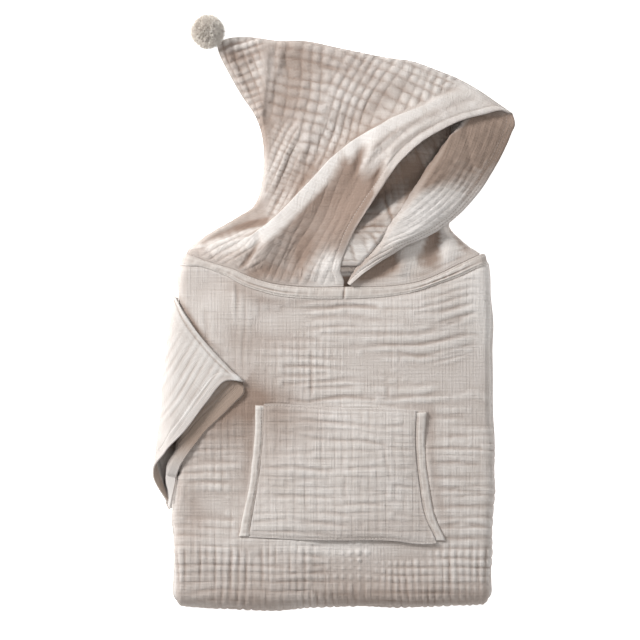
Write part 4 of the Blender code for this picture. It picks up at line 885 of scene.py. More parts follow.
def hoodLeftRelief(x, y, fromRim):
    across, _, along = crestSide(x, y)
    field = fade(-across - 2, 6) * fade(x - 262, 16)
    tail = fade(-across - 2, 6) * (1 - fade(x - 256, 12)) * fade(170 - y, 40)
    shoulder = fade(268 - x, 12) * fade(y - 206, 8)
    bandHere = (0.25 * fade(across - 0.5, 2) + 0.75 * fade(across - 5, 7)) * (1 - shoulder)
    right = fade(x - 312 + (y - 100) * 0.2, 26)
    low = fade(y - 114, 16) * (1 - fade(x - 290, 18))
    strong = 0.5 + 0.6 * right
    (la, lb), (ra, rb), (fa, fb) = turned(x, y, 79), turned(x, y, 66), turned(x, y, 62)
    shape = puckers(la, lb + 1.6 * np.sin(la / 22), hoodField, 0.6, 3, 2.1 * strong) * (1 - right)
    shape = shape + puckers(ra, rb + 1.8 * np.sin(ra / 26), hoodField, 1, 1, strong) * right
    narrow = dict(hoodField, rowPitch=6.8, columnPitch=6.2)
    shape = shape * (1 - low) + puckers(fa, fb, narrow, 1.3, 1.3, 0.8) * low
    shape = shape * field
    ta, tb = turned(x, y, 19)
    shape = shape + puckers(ta, tb, hoodTail) * tail
    upper = fade(x - 345, 40)
    low, high = turned(x, y, 64), turned(x, y, 40)
    streaks = puckers(*low, hoodBand, 0.9) * (1 - upper)
    streaks = streaks + puckers(*high, dict(hoodBand, rowPitch=8.4), 0.7, 0.6, 0.5) * upper
    shape = shape + streaks * bandHere * fade(fromRim - 9, 4)
    shape = shape + puckers(*turned(x, y, 27), hoodShoulder) * shoulder
    hem = -0.5 * bell(fromRim - hoodLook["hem"], 0.9)
    hem = hem + 0.22 * cloud(along / 3, fromRim / 9, 66) * fade(10 - fromRim, 2)
    hem = hem + 0.5 * np.maximum(1 - ((fromRim - 4) / 4.6) ** 2, 0)
    return shape + hem + 0.9 * cloud(x / 34, y / 30, 67)


def gridRun(grid, axis):
    steps = norm(np.diff(grid, axis=axis), axis=2)
    shape = list(steps.shape)
    shape[axis] = 1
    return np.concatenate([np.zeros(shape), np.cumsum(steps, axis=axis)], axis)


def makeHoodLeft():
    look = hoodLook
    u = np.linspace(0, 1, look["across"])
    v = np.linspace(0, 1, look["up"]) * 10
    plan, z = hoodLeftBase(u, v)
    x, y = plan[..., 0], plan[..., 1]
    uAll, vAll = np.broadcast_arrays(u[None], v[:, None])
    grid = beside(x, y, z)
    fromRim = gridRun(grid[:, ::-1], 1)[:, ::-1]
    edge = fade(uAll, 0.05) * fade(1 - uAll, 0.02) * fade(vAll, 0.7) * fade(10 - vAll, 0.45)
    finest = fade(uAll, 0.012) * fade(1 - uAll, 0.01) * fade(vAll, 0.3) * fade(10 - vAll, 0.1)
    across, height, _ = crestSide(x, y)
    wall = bell(np.minimum(across, 0), crestLook["near"])
    crest = height * wall * (1 - fade((across - crestLook["flat"]) / crestLook["fall"])) * fade(fromRim, 16)
    z = z + (ridges(hoodRidges, x, y) + crest) * edge
    seat = fade(1 - vAll / 0.9)
    z = z + (neckHeight(x, y) - z) * seat
    relief = hoodLeftRelief(x, y, fromRim) * finest + creases(hoodCreases, x, y, 5) * edge * 0.85
    fromEdge = np.minimum(gridRun(grid, 1), gridRun(grid[::-1], 0)[::-1])
    rolled = np.sqrt(np.maximum(1 - (1 - np.clip(fromEdge / look["roll"], 0, 1)) ** 2, 0))
    rolled = rolled * (1 - fade(fromEdge - look["roll"], 12))
    z = z + 2.6 * rolled * fade(vAll, 2)
    bumps = np.clip(relief, -1.2, 1.2) * bell(fromEdge, 3) * fade(vAll, 1.5) * fade(0.96 - uAll, 0.04)
    over = curve(backSeam, v)[:, 2:3] - look["sewnDown"]
    z = z + (over - z) * (1 - fade(uAll, 0.02)) * fade(vAll, 0.4) * (vAll > 0.01)
    top = curve(topSeam, u)[None, :, 2] - look["sewnDown"]
    z = z + (top - z) * fade(vAll - 9.86, 0.13)
    grid = beside(x, y, z)
    normal = gridNormals(grid)
    normal *= np.sign(normal[..., 2:3])
    grid = grid + normal * relief[..., None]
    e = 0.6
    gx = crestSide(x + e, y)[0] - crestSide(x - e, y)[0]
    gy = crestSide(x, y + e)[0] - crestSide(x, y - e)[0]
    push = crestLook["overhang"] * fade(height, 6) * bell(across - crestLook["at"], crestLook["reach"]) * edge
    atTop = fade(vAll - 9, 0.8)[..., None]
    outward = np.array([-1, 0.2]) * (1 - atTop) + np.array([0.1, -1]) * atTop
    grid[..., 0] += bumps * outward[..., 0] - push * gx / (2 * e)
    grid[..., 1] += bumps * outward[..., 1] - push * gy / (2 * e)
    hem = np.argmin(np.abs(fromRim - look["hem"]), axis=1)
    rows = np.arange(6, look["up"] - 4)
    at = rows, hem[rows]
    sew(grid[at], normal[at])
    laid = beside(gridRun(grid, 1), gridRun(grid, 0))
    # painted shade in the trough beyond the crest strip, with its strength by row from the row table
    troughShade = fade(across - 6, 6) * line(troughShadeRows, y) * fade(fromRim - 6 * fade(196 - y, 10), 4)
    troughShade = np.maximum(troughShade, 0.3 * fade(y - 166, 8) * fade(206 - y, 8) * fade(9 - fromRim, 2))
    troughShade = troughShade * (1 - fade(x - 300, 16) * fade(y - 248, 12))
    # painted shadow on the field under the crest's overhang
    shade = crestLook["shade"] * fade(height, 5) * (0.4 + 0.6 * fade(400 - x, 60)) * bell(across + 3.4, 3)
    # painted crease shade, stronger on the field
    creaseShade = creaseShadeOf(relief, 1.2) * (1 + 0.3 * fade(-across - 2, 6))
    paintedShade = np.maximum(1 - (1 - shaded(creaseShade, hoodShades, x, y)) * (1 - troughShade), shade)
    # painted highlight along the crest strip and on a patch near x 328, y 268, taken off the painted shade
    light = 0.9 * fade(height, 5) * bell(across - 2.5, 3.4) * fade(262 - y, 20)
    light = light + 0.6 * patch(x, y, 328, 268, 12, 18)
    piece = makePiece("hoodLeft", grid, gridFaces(*x.shape), laid, paintedShade - np.minimum(light, 1), gauzeCloth)
    thicken(piece, look["wall"])
    return settle(piece, "hood_left")


hoodLeft = makeHoodLeft()

rightLook = {"around": 196, "up": 172, "wall": 1.5, "hems": (4, 8.6), "lowest": 0.95}
hoodInside = {"rowPitch": 8.2, "rowDepth": 0.5, "columnPitch": 9, "columnDepth": 0.42, "cellDepth": 0.6,
              "seed": 71, "round": 0.5}
# folds of the right panel by x, y: round the neck, inside the opening and on the lapel
baseFolds = (
    (3, 9, (398, 286, 2.4), (399, 270, 3.2), (401, 254, 2.4)),
    (4, 12, (446, 268, 2), (446, 250, 3.4), (446, 234, 2.4)),
    (9, 9, (366, 280, -1.6), (378, 268, -2), (390, 258, -1.6)),
    (6.5, 6.5, (426, 262, -0.5), (429, 250, -3.5), (434, 236, -8))
)
baseCreases = (
    (1, 1.6, (410, 252), (411, 262), (414, 274)), (0.9, 1.6, (418, 250), (419, 262), (424, 270)),
    (0.8, 1.6, (405, 262), (405, 272), (406, 280)), (0.8, 1.8, (456, 246), (458, 258), (462, 266)),
    (0.9, 2, (380, 276), (400, 278), (426, 274)), (0.8, 1.8, (430, 270), (446, 264), (462, 258))
)
insideCreases = (
    (1.8, 1.9, (382, 186), (385, 200), (390, 214), (393, 220)),
    (1.2, 1.6, (351, 246), (354, 256), (357, 266)),
    (1.8, 2.2, (414, 146), (418, 158), (421, 172)), (1.2, 2, (434, 140), (436, 150), (438, 158)),
    (0.8, 1.6, (362, 229), (372, 225.4), (386, 226)), (0.9, 1.6, (364, 240), (367, 250), (371, 260)),
    (0.7, 1.6, (358, 212), (366, 206), (378, 204)), (0.9, 1.6, (372, 234), (376, 242), (382, 250))
)
lapelCreases = (
    (1.9, 2.4, (467, 118), (467, 136), (470, 161), (473, 172)), (0.9, 2, (440, 150), (452, 160), (468, 182)),
    (0.9, 2, (412, 196), (424, 204), (444, 212)), (0.9, 2, (436, 168), (446, 180), (462, 196)),
    (0.8, 2.2, (398, 226), (412, 226), (430, 222)), (0.8, 2, (480, 140), (486, 152), (488, 166))
)


lapelShades = (
    (17, 17, (450, 132, 0.8), (462, 124, 0.85), (472, 122, 1), (486, 125, 0.9), (500, 126, 0.85)),
    (16, 16, (430, 152, 0.75), (452, 152, 0.6), (476, 148, 0.85), (492, 148, 0.7)),
    (16, 16, (418, 178, 0.85), (440, 178, 0.8), (470, 172, 0.6)),
    (8, 12, (416, 184, 0.5), (424, 168, 0.9), (433, 154, 0.9), (444, 138, 0.7)),
    (6, 1.6, (468.6, 118, 0.7), (469, 136, 0.8), (471, 152, 0.5), (478, 166, 0.4)),
    (9, 9, (499, 128, 0.6), (496, 140, 0.8), (488, 154, 0.3)),
    (4.5, 4.5, (513, 118, 0.8), (511, 132, 0.7), (505, 146, 0.55), (496, 163, 0.4), (484, 182, 0.25)),
    (1.4, 1.4, (506, 116, 0.5), (504, 134, 0.6), (496, 152, 0.7), (488, 165, 0.6), (478, 180, 0.45),
     (464, 198, 0.4), (444, 213, 0.3))
)
baseShades = (
    (10, 12, (352, 276, 0.5), (372, 266, 0.75), (392, 260, 0.75)),
    (6.5, 6.5, (427, 252, 0), (431, 244, 0.6), (436, 234, 1)),
    (7, 7, (362, 278, 0.4), (380, 273, 0.55), (395, 268, 0.5)), (7, 7, (452, 265, 0.5), (470, 261, 0.55)),
    (8, 12, (408, 198, 0.4), (416, 184, 0.7), (424, 168, 1), (433, 154, 1), (444, 138, 0.9))
)
insideShades = (
    (19, 19, (384, 178, 0.6), (404, 164, 0.6), (430, 146, 0.6), (452, 128, 0.6)),
    (10, 13, (394, 192, 0.3), (402, 182, 0.4), (412, 170, 0.4)),
    (9, 9, (354, 228, 0.55), (372, 224, 0.5), (390, 214, 0.3)),
    (5, 5, (422, 172, 0.8), (414, 186, 0.8), (407, 200, 0.6)),
    (6, 6, (372, 206, 0.5), (378, 198, 0.6), (384, 190, 0.7))
)


def rightSection(u, v):
    seam, rim = curve(backSeam, v), curve(farRim, v)
    fold, ridge = curve(baseFold, v), curve(lapelRidge, v)
    floor = float(line(floorRise, v))
    e = rim[:2] - ridge[:2]
    e = e / norm(e)
    ef = fold[:2] - ridge[:2]
    ef = ef / max(norm(ef), 1e-6)
    ef = ef + (e - ef) * fade(v - 2, 4)
    ef = ef / norm(ef)
    k = float(np.clip(np.dot(fold[:2] - ridge[:2], ef) / 22, -1, 1))
    rf = min((fold[3] - fold[2]) / 2, 7)
    rr = min((ridge[3] - ridge[2]) / 2, 6, norm(rim[:2] - ridge[:2]) * 0.36)
    underSeam = seam[2] - body["gap"] / 2 - body["cloth"] / 2
    start, low = seam[:2], fold[:2] - ef * rf * abs(k)
    keys = [(0, seam[0], seam[1], underSeam)]
    for t, knot in ((0.05, 0.03), (0.25, 0.1), (0.5, 0.18), (0.75, 0.26)):
        p = start + (low - start) * t
        rise = floor + (underSeam - floor) * float(1 - fade(t, 0.25))
        keys.append((knot, *p, rise + (fold[2] - floor) * float(fade(t - 0.6, 0.4))))
    p, q = fold[:2] - ef * rf * k, ridge[:2] + e * rr * k
    keys += [(0.34, *low, fold[2]), (0.39, *fold[:2], (fold[2] + fold[3]) / 2), (0.44, *p, fold[3])]
    keys.append((0.53, *((p + q) / 2), (fold[3] + ridge[2]) / 2 + 1.2 * max(k, 0)))
    keys += [(0.62, *q, ridge[2]), (0.67, *ridge[:2], (ridge[2] + ridge[3]) / 2)]
    q = ridge[:2] + e * rr * abs(k)
    puff = 1.6 * float(fade(v - 1, 2) + 1.3 * fade(v - 2, 1.5) * fade(6.5 - v, 2))
    keys += [(0.72, *q, ridge[3]),
             (0.86, *((q + rim[:2]) / 2), (ridge[3] + rim[2]) / 2 + puff), (1, *rim)]
    points = curve(keys, u, True)
    points[:, 2] = np.maximum(points[:, 2], floorRise[-1][1])
    return points


def rightNeck(u):
    half = body["cloth"] / 2
    t = u / 0.34
    x = 186.4 + (474 - 186.4) * t
    z = curve(((0, 20.95), (0.05, 21.4), (0.3, 22.4), (0.7, 22.4), (1, 20)), t)[:, 0]
    back = beside(x, line(backNeckLine, x), z)
    a = math.pi * np.clip((u - 0.34) / 0.10, 0, 1)[:, None]
    seat, low = neckSeat(474, -half), np.array([474, float(line(backNeckLine, 474)), 20])
    mid = (low + seat) / 2
    turn = mid + (low - mid) * np.cos(a) + np.array([5.5, -1.6, 0]) * np.sin(a)
    along = neckSeat(474 + (352 - 474) * np.clip((u - 0.44) / 0.18, 0, 1), -half)
    notch = curve([(0.62, *neckSeat(352, -half)), (0.67, 347.8, 283.6, 38.4), (0.72, 348.2, 284, 40.2),
                   (0.86, 349, 284.6, 41), (1, 350, 285.2, 41.6)], u, True)
    u = u[:, None]
    return np.where(u <= 0.34, back, np.where(u <= 0.44, turn, np.where(u <= 0.62, along, notch)))


def rightTop(u):
    steps = (0, 0.34, 0.39, 0.44, 0.62, 0.67, 0.72, 1)
    p = curve(topSeam, np.interp(u, steps, (0, 0.71, 0.73, 0.75, 0.79, 0.81, 0.83, 1)))
    return p - np.array([0, 0, body["gap"] / 2 + body["cloth"] / 2])


def makeHoodRight():
    look = rightLook
    fine = np.linspace(0, 1, 900)
    runs = []
    for v in (1.5, 3.5, 5, 6.5, 8):
        steps = norm(np.diff(rightSection(fine, v), axis=0), axis=1)
        runs.append(np.concatenate([[0], np.cumsum(steps)]) / steps.sum())
    u = np.interp(np.linspace(0, 1, look["around"]), np.mean(runs, axis=0), fine)
    v = np.linspace(0, 1, look["up"]) * 10
    rows = []
    neckShift, topShift = rightNeck(u) - rightSection(u, 0), rightTop(u) - rightSection(u, 10)
    for at in v:
        low, high = float(1 - fade(at, 1.6)), float(fade(at - 8.4, 1.6))
        lift = float(fade(at - 9.2, 0.8)) ** 1.6
        rows.append(rightSection(u, at) + neckShift * low + topShift * (high, high, lift))
    grid = np.array(rows)
    normal = gridNormals(grid)
    if normal[100, -20, 2] < 0:  # faces up on the lapel
        normal = -normal
    fromRim = gridRun(grid[:, ::-1], 1)[:, ::-1]
    along = gridRun(grid, 0)
    along = along[:, -1:] * 0.6 + along * 0.4
    uAll, vAll = np.broadcast_arrays(u[None], v[:, None])
    edge = fade(uAll, 0.04) * fade(vAll, 0.8) * fade(10 - vAll, 0.5)
    x, y = grid[..., 0], grid[..., 1]
    lower = 1 - fade(uAll - 0.30, 0.05)
    rimFar, rimZ, rimSide, _ = nearest([row[1:] for row in nearRim[1:13]], x, y)
    ridgeFar, _, ridgeSide, _ = nearest([row[1:4] for row in lapelRidge[1:10]], x, y)
    fromNear, pastRidge = rimFar * rimSide, ridgeFar * ridgeSide
    slope = 0.14 * (1 - fade(y - 224, 16)) * np.maximum(fromNear, 0)
    floorZ = rimZ - 3.4 + 1.4 * fade(y - 226, 16) - slope + 0.55 * np.minimum(fromNear, 0)
    share = fade(fromNear + 17, 12) * fade(5.5 - pastRidge, 6) * fade(vAll - 0.03, 0.12)
    share = share * (0.3 + 0.7 * fade(y + 0.5 * (x - 385) - 186, 34)) * fade(y - 128, 30)
    grid[..., 2] = grid[..., 2] + (floorZ - grid[..., 2]) * share * lower
    onLapel = fade(uAll - 0.70, 0.05)
    below = 1 - fade(uAll - 0.50, 0.06)
    cells = 0.5 + 0.8 * onLapel * patch(x, y, 442, 180, 54, 44)
    relief = puckers(along, fromRim, hoodInside, 1, 1, cells) * (1 + 0.5 * onLapel + 0.5 * lower)
    relief = relief * fade(fromRim - 9.5, 4)
    onFloor = 1 - fade(uAll - 0.34, 0.04)
    relief = relief + 0.45 * creases(lapelCreases, x, y, 7) * onLapel
    relief = relief + creases(insideCreases, x, y, 8) * onFloor
    relief = relief + (0.9 * cloud(x / 26, y / 24, 73) + 0.45 * cloud(x / 13, y / 12, 74)) * (1 - 0.5 * onLapel)
    hem = -0.5 * bell(fromRim - look["hems"][0], 0.8) - 0.55 * bell(fromRim - look["hems"][1], 0.8)
    hem = hem + 0.25 * cloud(along / 3.2, fromRim / 5, 75) * fade(10 - fromRim, 2)
    onBase = fade(uAll - 0.42, 0.04) * (1 - fade(uAll - 0.62, 0.04)) * fade(4.5 - vAll, 2)
    relief = relief + (1.5 * creases(baseCreases, x, y, 10) + ridges(baseFolds, x, y)) * onBase * -1
    relief = relief * edge + hem * fade(vAll, 0.4) * fade(10 - vAll, 0.3)
    grid = grid + normal * relief[..., None]
    grid[..., 2] = np.maximum(grid[..., 2], look["lowest"])
    half = look["wall"] / 2
    rows = np.arange(3, look["up"] - 3)
    # the hems' stitches, with painted shade
    for far in look["hems"]:
        at = rows, np.argmin(np.abs(fromRim - far), axis=1)[rows]
        sew(grid[at] + normal[at] * half, normal[at], 0.55)
    laid = beside(fromRim, along)
    upward = np.maximum(onLapel, onFloor)
    # painted crease shade, and painted shade strokes on the lapel, inside the opening and on the base
    creaseShade = creaseShadeOf(relief, 1.2) * upward + creaseShadeOf(-relief, 1.2) * (1 - upward)
    paintedShade = (shaded(creaseShade, lapelShades, x, y) * onLapel + shaded(1.5 * creaseShade, insideShades, x, y) * below
              + shaded(creaseShade, baseShades, x, y) * (1 - onLapel) * (1 - below))
    # painted highlight on the lapel's lower part and on the opening's floor
    paintedShade = paintedShade - 1.2 * patch(x, y, 424, 214, 38, 17, -34) * onLapel
    paintedShade = paintedShade - 0.5 * patch(x, y, 366, 252, 14, 12) * below
    piece = makePiece("hoodRight", grid, gridFaces(*x.shape), laid,
                      paintedShade, shadedInnerCloth)
    thicken(piece, look["wall"], 0)
    return settle(piece, "hood_right")


hoodRight = makeHoodRight()


# the sleeve from its upper fold, 0, to its lower edge, 1, with a row for each section
sleeveAcross = (0, 0.12, 0.3, 0.5, 0.7, 0.86, 1)
sleeveOverRows = (  # root, side, shoulder, top, middle, mouth
    ((174, 298, 9), (173.4, 320, 5), (172.6, 346, 3.8), (172, 380, 3.4), (171.6, 414, 3.4),
     (170.8, 446, 3.6), (169.8, 473, 5)),
    ((173.6, 296.6, 19), (170, 319, 17), (166.2, 346, 16), (163, 381, 15), (160.6, 416, 14),
     (157.4, 449, 13), (163.2, 481, 11)),
    ((175.4, 297, 31), (171, 322, 32), (166.8, 351, 31), (162.9, 385, 29), (159.8, 421, 26),
     (155.6, 454, 21), (162.6, 487, 15)),
    ((186, 317, 39.2), (180, 334, 39.8), (173, 361, 39), (167.6, 395, 37.6), (161.6, 431, 33),
     (154.6, 461, 26), (164.2, 494, 18)),
    ((208, 345, 40), (200, 358, 42.4), (188, 381, 43), (175, 411, 42), (165, 441, 38),
     (153.4, 467, 28.6), (166.8, 501, 20.6)),
    ((243, 382, 40.4), (226, 380.4, 44.6), (206, 402, 45.6), (185, 430, 44), (164, 452.4, 40),
     (152.2, 475, 29), (170.4, 508.6, 22.6)),
)
# the sleeve's underside: station, x, y at the mouth, and station, run down the side, y above it
sleeveUnderMouth = (
    (0, 243.6, 385), (0.08, 243.6, 392.6), (0.2, 233.6, 403.4), (0.3, 222, 415), (0.45, 206, 430),
    (0.58, 195.6, 443),
    (0.7, 184, 459), (0.8, 177.4, 474), (0.9, 173.4, 489), (1, 172.4, 508)
)
sleeveUnderTop = (
    (0, 1, 316), (0.12, 0.3, 336), (0.3, 0, 368), (0.5, 1, 412), (0.7, 7.5, 450), (0.86, 15.6, 475),
    (1, 18.6, 497)
)
sleeveLook = {"across": 104, "long": 132, "inside": 130, "wall": 2.2, "hem": 12, "foldStitch": 5.4, "slant": 56,
              "rowPitch": 6.8, "rowDepth": 0.6, "round": 0.9,
              "columnPitch": 10.5, "columnDepth": 0.1, "cellDepth": 0.15, "seed": 81, "rowRun": 50,
              "lump": 0.08}


def sleeveOver(w, t):
    stations = [curve(np.column_stack([sleeveAcross, row]), w) for row in sleeveOverRows]
    table = np.column_stack([np.arange(6) / 5, np.array(stations).reshape(6, -1)])
    return curve(table, t).reshape(len(t), len(w), 3)


def bodySide(s, y, lift):
    left, r = plateLeft(y), body["sideRoll"]
    a = s / r
    x1, z1 = left - s, topHeight(left - s, y) + lift
    x2, z2 = left - (r + lift) * np.sin(a), body["pack"] - r + (r + lift) * np.cos(a)
    x3, z3 = left - r - lift, body["pack"] - r - (s - r * math.pi / 2)
    x = np.where(s <= 0, x1, np.where(a < math.pi / 2, x2, x3))
    return beside(x, y, np.where(s <= 0, z1, np.where(a < math.pi / 2, z2, z3)))


def sleeveUnder(w, t):
    root, side = sleeveOver(w, np.array([0, 0.2]))
    r = body["sideRoll"]
    top, ty = curve(sleeveUnderTop, w).T
    mx, my = curve(sleeveUnderMouth, w).T
    close = fade(w - 0.8, 0.2)
    down = body["pack"] - r + r * math.pi / 2
    out = plateLeft(my) - mx
    reach = np.where(out <= 0, out, r * np.arcsin(np.minimum(np.maximum(out, 0) / (r + 1), 1)))
    mouth = reach * (1 - close) + (down - 27) * close
    low = down - side[:, 2] - 1
    rows = [(down - root[:, 2] - 0.5, root[:, 1] + 1), (low, side[:, 1] + 1),
            (low + (top - low) * 0.52, side[:, 1] + (ty - side[:, 1]) * 0.5), (top, ty),
            (top + (mouth - top) * (0.5 - 0.13 * (1 - fade(w, 0.3))), (ty + my) / 2), (mouth, my)]
    table = np.column_stack([(0, 0.18, 0.4, 0.6, 0.8, 1), np.array(rows).reshape(6, -1)])
    both = curve(table, t).reshape(len(t), 2, len(w))
    laid = bodySide(both[:, 0], both[:, 1], body["gap"] + 0.7 + 0.5 * close)
    bulge = (fade(t - 0.5, 0.25) * (1 - fade(t - 0.86, 0.14)))[:, None] * fade(w - 0.58, 0.2)
    laid[..., 0] -= 8.5 * bulge * (1 - 0.75 * fade(w - 0.84, 0.14))
    return laid


def makeSleeve():
    look = sleeveLook
    even = np.linspace(0, 1, look["across"])
    w = 0.5 - 0.5 * np.cos(math.pi * even) * 0.55 + (even - 0.5) * 0.45
    w = (w - w[0]) / (w[-1] - w[0])
    t = np.linspace(0, 1, look["long"]) ** 0.85
    over, under = sleeveOver(w, t), sleeveUnder(w, t)
    ring = np.concatenate([over, under[:, ::-1]], 1)
    wrapped = np.concatenate([ring[:, -1:], ring, ring[:, :1]], 1)
    normal = gridNormals(wrapped)[:, 1:-1]
    if normal[100, 50, 2] < 0:  # outward is up on the upper layer
        normal = -normal
    wAll = np.concatenate([w, w[::-1]])[None]
    wAll = np.broadcast_to(wAll, ring.shape[:2])
    toMouth = gridRun(ring[::-1], 0)[::-1]
    around = gridRun(ring, 1)
    around = around * 0.5 + around[-1:] * 0.5
    fromFold = gridRun(over, 1)
    fromFold = np.concatenate([fromFold, fromFold[:, ::-1]], 1)
    isOver = np.concatenate([np.ones(len(w)), np.zeros(len(w))])[None]
    edge = fade(wAll, 0.03) * fade(1 - wAll, 0.03)
    x, y = ring[..., 0], ring[..., 1]
    slantA, slantB = turned(x, y, look["slant"])
    at = (slantB + 1.5 * np.sin(slantA / 30)) / 6.9 + 0.35 * cloud(slantA / 46, slantB / 11, 85)
    streaks = (np.abs(np.sin(math.pi * at)) ** 0.8 - 0.6) * fade(0.8 + 0.7 * cloud(slantA / 34, slantB / 7, 86))
    streaks = 0.7 * streaks * patch(x, y, 192, 398, 44, 66) + 0.08 * cloud(slantA / 7, slantB / 5, 88)
    relief = puckers(around, toMouth, look, 1, 1, 1) * (1 - isOver) + streaks * isOver
    relief = relief + 0.4 * cloud(x / 16, y / 22, 83) + 0.9 * cloud(x / 30, y / 40, 84)
    relief = relief * edge * (0.25 + 0.75 * isOver) * (0.35 + 0.65 * fade(toMouth - 3, 6))
    pressed = 0.8 * bell(fromFold - look["foldStitch"], 0.9)
    relief = relief - pressed * isOver * fade(wAll, 0.01) * fade(toMouth - 8, 6)
    relief = relief + 1.7 * np.exp(-(((x - 238) / 7) ** 2 + ((y - 379) / 6) ** 2)) * isOver
    hemGroove = -0.6 * bell(toMouth - look["hem"], 0.9) * edge
    outer = ring + normal * (relief + hemGroove * isOver)[..., None]
    wall, onward = look["wall"], ring[-1] - ring[-2]
    lip = outer[-1] - normal[-1] * wall / 2 + onward / norm(onward, axis=1, keepdims=True) * 0.6
    inward = 1 - 0.86 * (1 - fade(wAll, 0.05))
    liner = puckers(around, toMouth, dict(look, seed=87), 0.9, 0.9, 0.9)
    liner = liner * edge * (1 - isOver) * fade(toMouth - 13, 4)
    inner = outer - normal * (wall - liner - hemGroove * (1 - isOver))[..., None] * inward[..., None]
    inner = inner[::-1][:look["inside"]]
    rings = np.concatenate([outer, lip[None], inner])
    laidOuter = beside(toMouth, around)
    laid = np.concatenate([laidOuter, laidOuter[-1:], laidOuter[::-1][:look["inside"]]])
    innerRelief = (relief * isOver * -1 + liner + hemGroove * (1 - isOver))[::-1][:look["inside"]]
    # painted shade inside the mouth: full inside the upper layer and the hem strip's upper part, less towards
    # the lower end
    inY = inner[..., 1]
    mouthShade = 1 - 0.5 * fade(inY - 440, 18)
    hemStripShade = np.where(isOver > 0, 1, 1.1 - 0.8 * fade(inY - 436, 46))
    deepShade = hemStripShade + (mouthShade - hemStripShade) * fade(toMouth[::-1][:look["inside"]] - 11, 3)
    # the fold strip near the top made darker, kept with the painted crease shade outside
    foldTone = 0.3 * isOver * fade(look["foldStitch"] - fromFold, 0.6) * fade(350 - y, 20)
    outerTone = np.maximum(creaseShadeOf(relief, 1.3), foldTone)
    paintedShade = np.concatenate([outerTone, outerTone[-1:], deepShade * (0.8 + 0.35 * creaseShadeOf(innerRelief, 0.6))])
    half = len(w)
    hemAt = np.argmin(np.abs(toMouth[:, half:] - look["hem"]), axis=0)
    columns = np.arange(8, half - 6)
    back = look["long"] - 1 - hemAt
    path = inner[np.minimum(back[columns], look["inside"] - 1), half + columns]
    # the inner hem's stitches, with painted shade
    sew(path[::-1], -normal[hemAt[columns], half + columns][::-1], 0.7)
    columns = np.arange(6, half - 6)
    at = np.argmin(np.abs(toMouth[:, :half] - look["hem"]), axis=0)[columns], columns
    sew(outer[at], normal[at])
    rows = np.arange(66, look["long"] - 14)
    at = rows, np.argmin(np.abs(fromFold[:, :half] - look["foldStitch"]), axis=1)[rows]
    sew(outer[at], normal[at])
    count = ring.shape[1]
    start = (len(rings) - 1) * count
    closed = [(start + k, start + k + 1, start + count - 2 - k, start + count - 1 - k) for k in range(half - 1)]
    faces = np.concatenate([gridFaces(len(rings), count, 0, True), closed])
    piece = makePiece("sleeveTube", rings, faces, laid, paintedShade, litSleeveCloth, closed=True)
    return settle(piece, "sleeve")


sleeve = makeSleeve()


pocketLook = {"across": 176, "down": 130, "belly": 3.4, "wall": 1.1, "topHem": 2.6, "footHem": 2.4,
              "rowPitch": 9.2, "rowDepth": 0.5, "round": 0.5,
              "columnPitch": 8.8, "columnDepth": 0.3, "cellDepth": 0.36, "seed": 91}
pocketCreases = (
    (1.1, 1.8, (292, 418.6), (324, 421.5), (359, 425), (384, 428), (410, 423)),
    (1, 1.8, (284, 433.4), (324, 440), (366, 441), (391, 447), (413, 450)),
    (0.9, 1.7, (264, 453.8), (290, 454), (312, 453)),
    (1.1, 1.8, (264, 468.5), (292, 466), (324, 470.7), (352, 469)),
    (0.9, 1.7, (350, 468), (377, 466.7), (410, 469)),
    (1, 1.8, (260, 497), (290, 496.4), (312, 497), (333, 498)),
    (1, 1.8, (255, 522), (289, 518), (312, 522), (341, 525.7), (362, 525.7)),
    (1, 1.7, (347, 503), (370, 504), (391, 507)), (0.8, 1.7, (362, 490), (374, 491), (387, 493)),
    (0.8, 1.7, (309, 511.7), (338, 513), (352, 517.6)),
    (0.8, 2.2, (255, 533), (289, 531), (341, 536.7), (391, 536.7)),
    (0.9, 1.7, (322, 424), (321.6, 450), (322, 476)),
    (0.8, 1.7, (382, 440), (386, 460), (391, 481)), (0.8, 1.7, (346, 477), (345, 490), (346, 502)),
    (0.8, 1.8, (396, 486), (408, 487), (416, 489)), (0.8, 1.8, (396, 514), (410, 516), (426, 519)),
    (0.7, 1.8, (272, 412), (300, 413), (330, 414)), (0.8, 1.8, (270, 481), (290, 482), (310, 480))
)


pocketShades = (
    (24, 24, (268, 412, 0.5), (276, 436, 0.45), (262, 476, 0.2)), (16, 18, (286, 412, 0.3), (312, 420, 0.35)),
    (14, 14, (300, 526, 0), (350, 530, 0.2), (410, 526, 0.25)),
    (14, 14, (420, 440, 0.15), (424, 480, 0.15), (432, 520, 0.2))
)


def pocketSide(y):
    return curve(bindingLeft, y)[..., 1] + body["gap"], curve(bindingRight, y)[..., 0] - body["gap"]


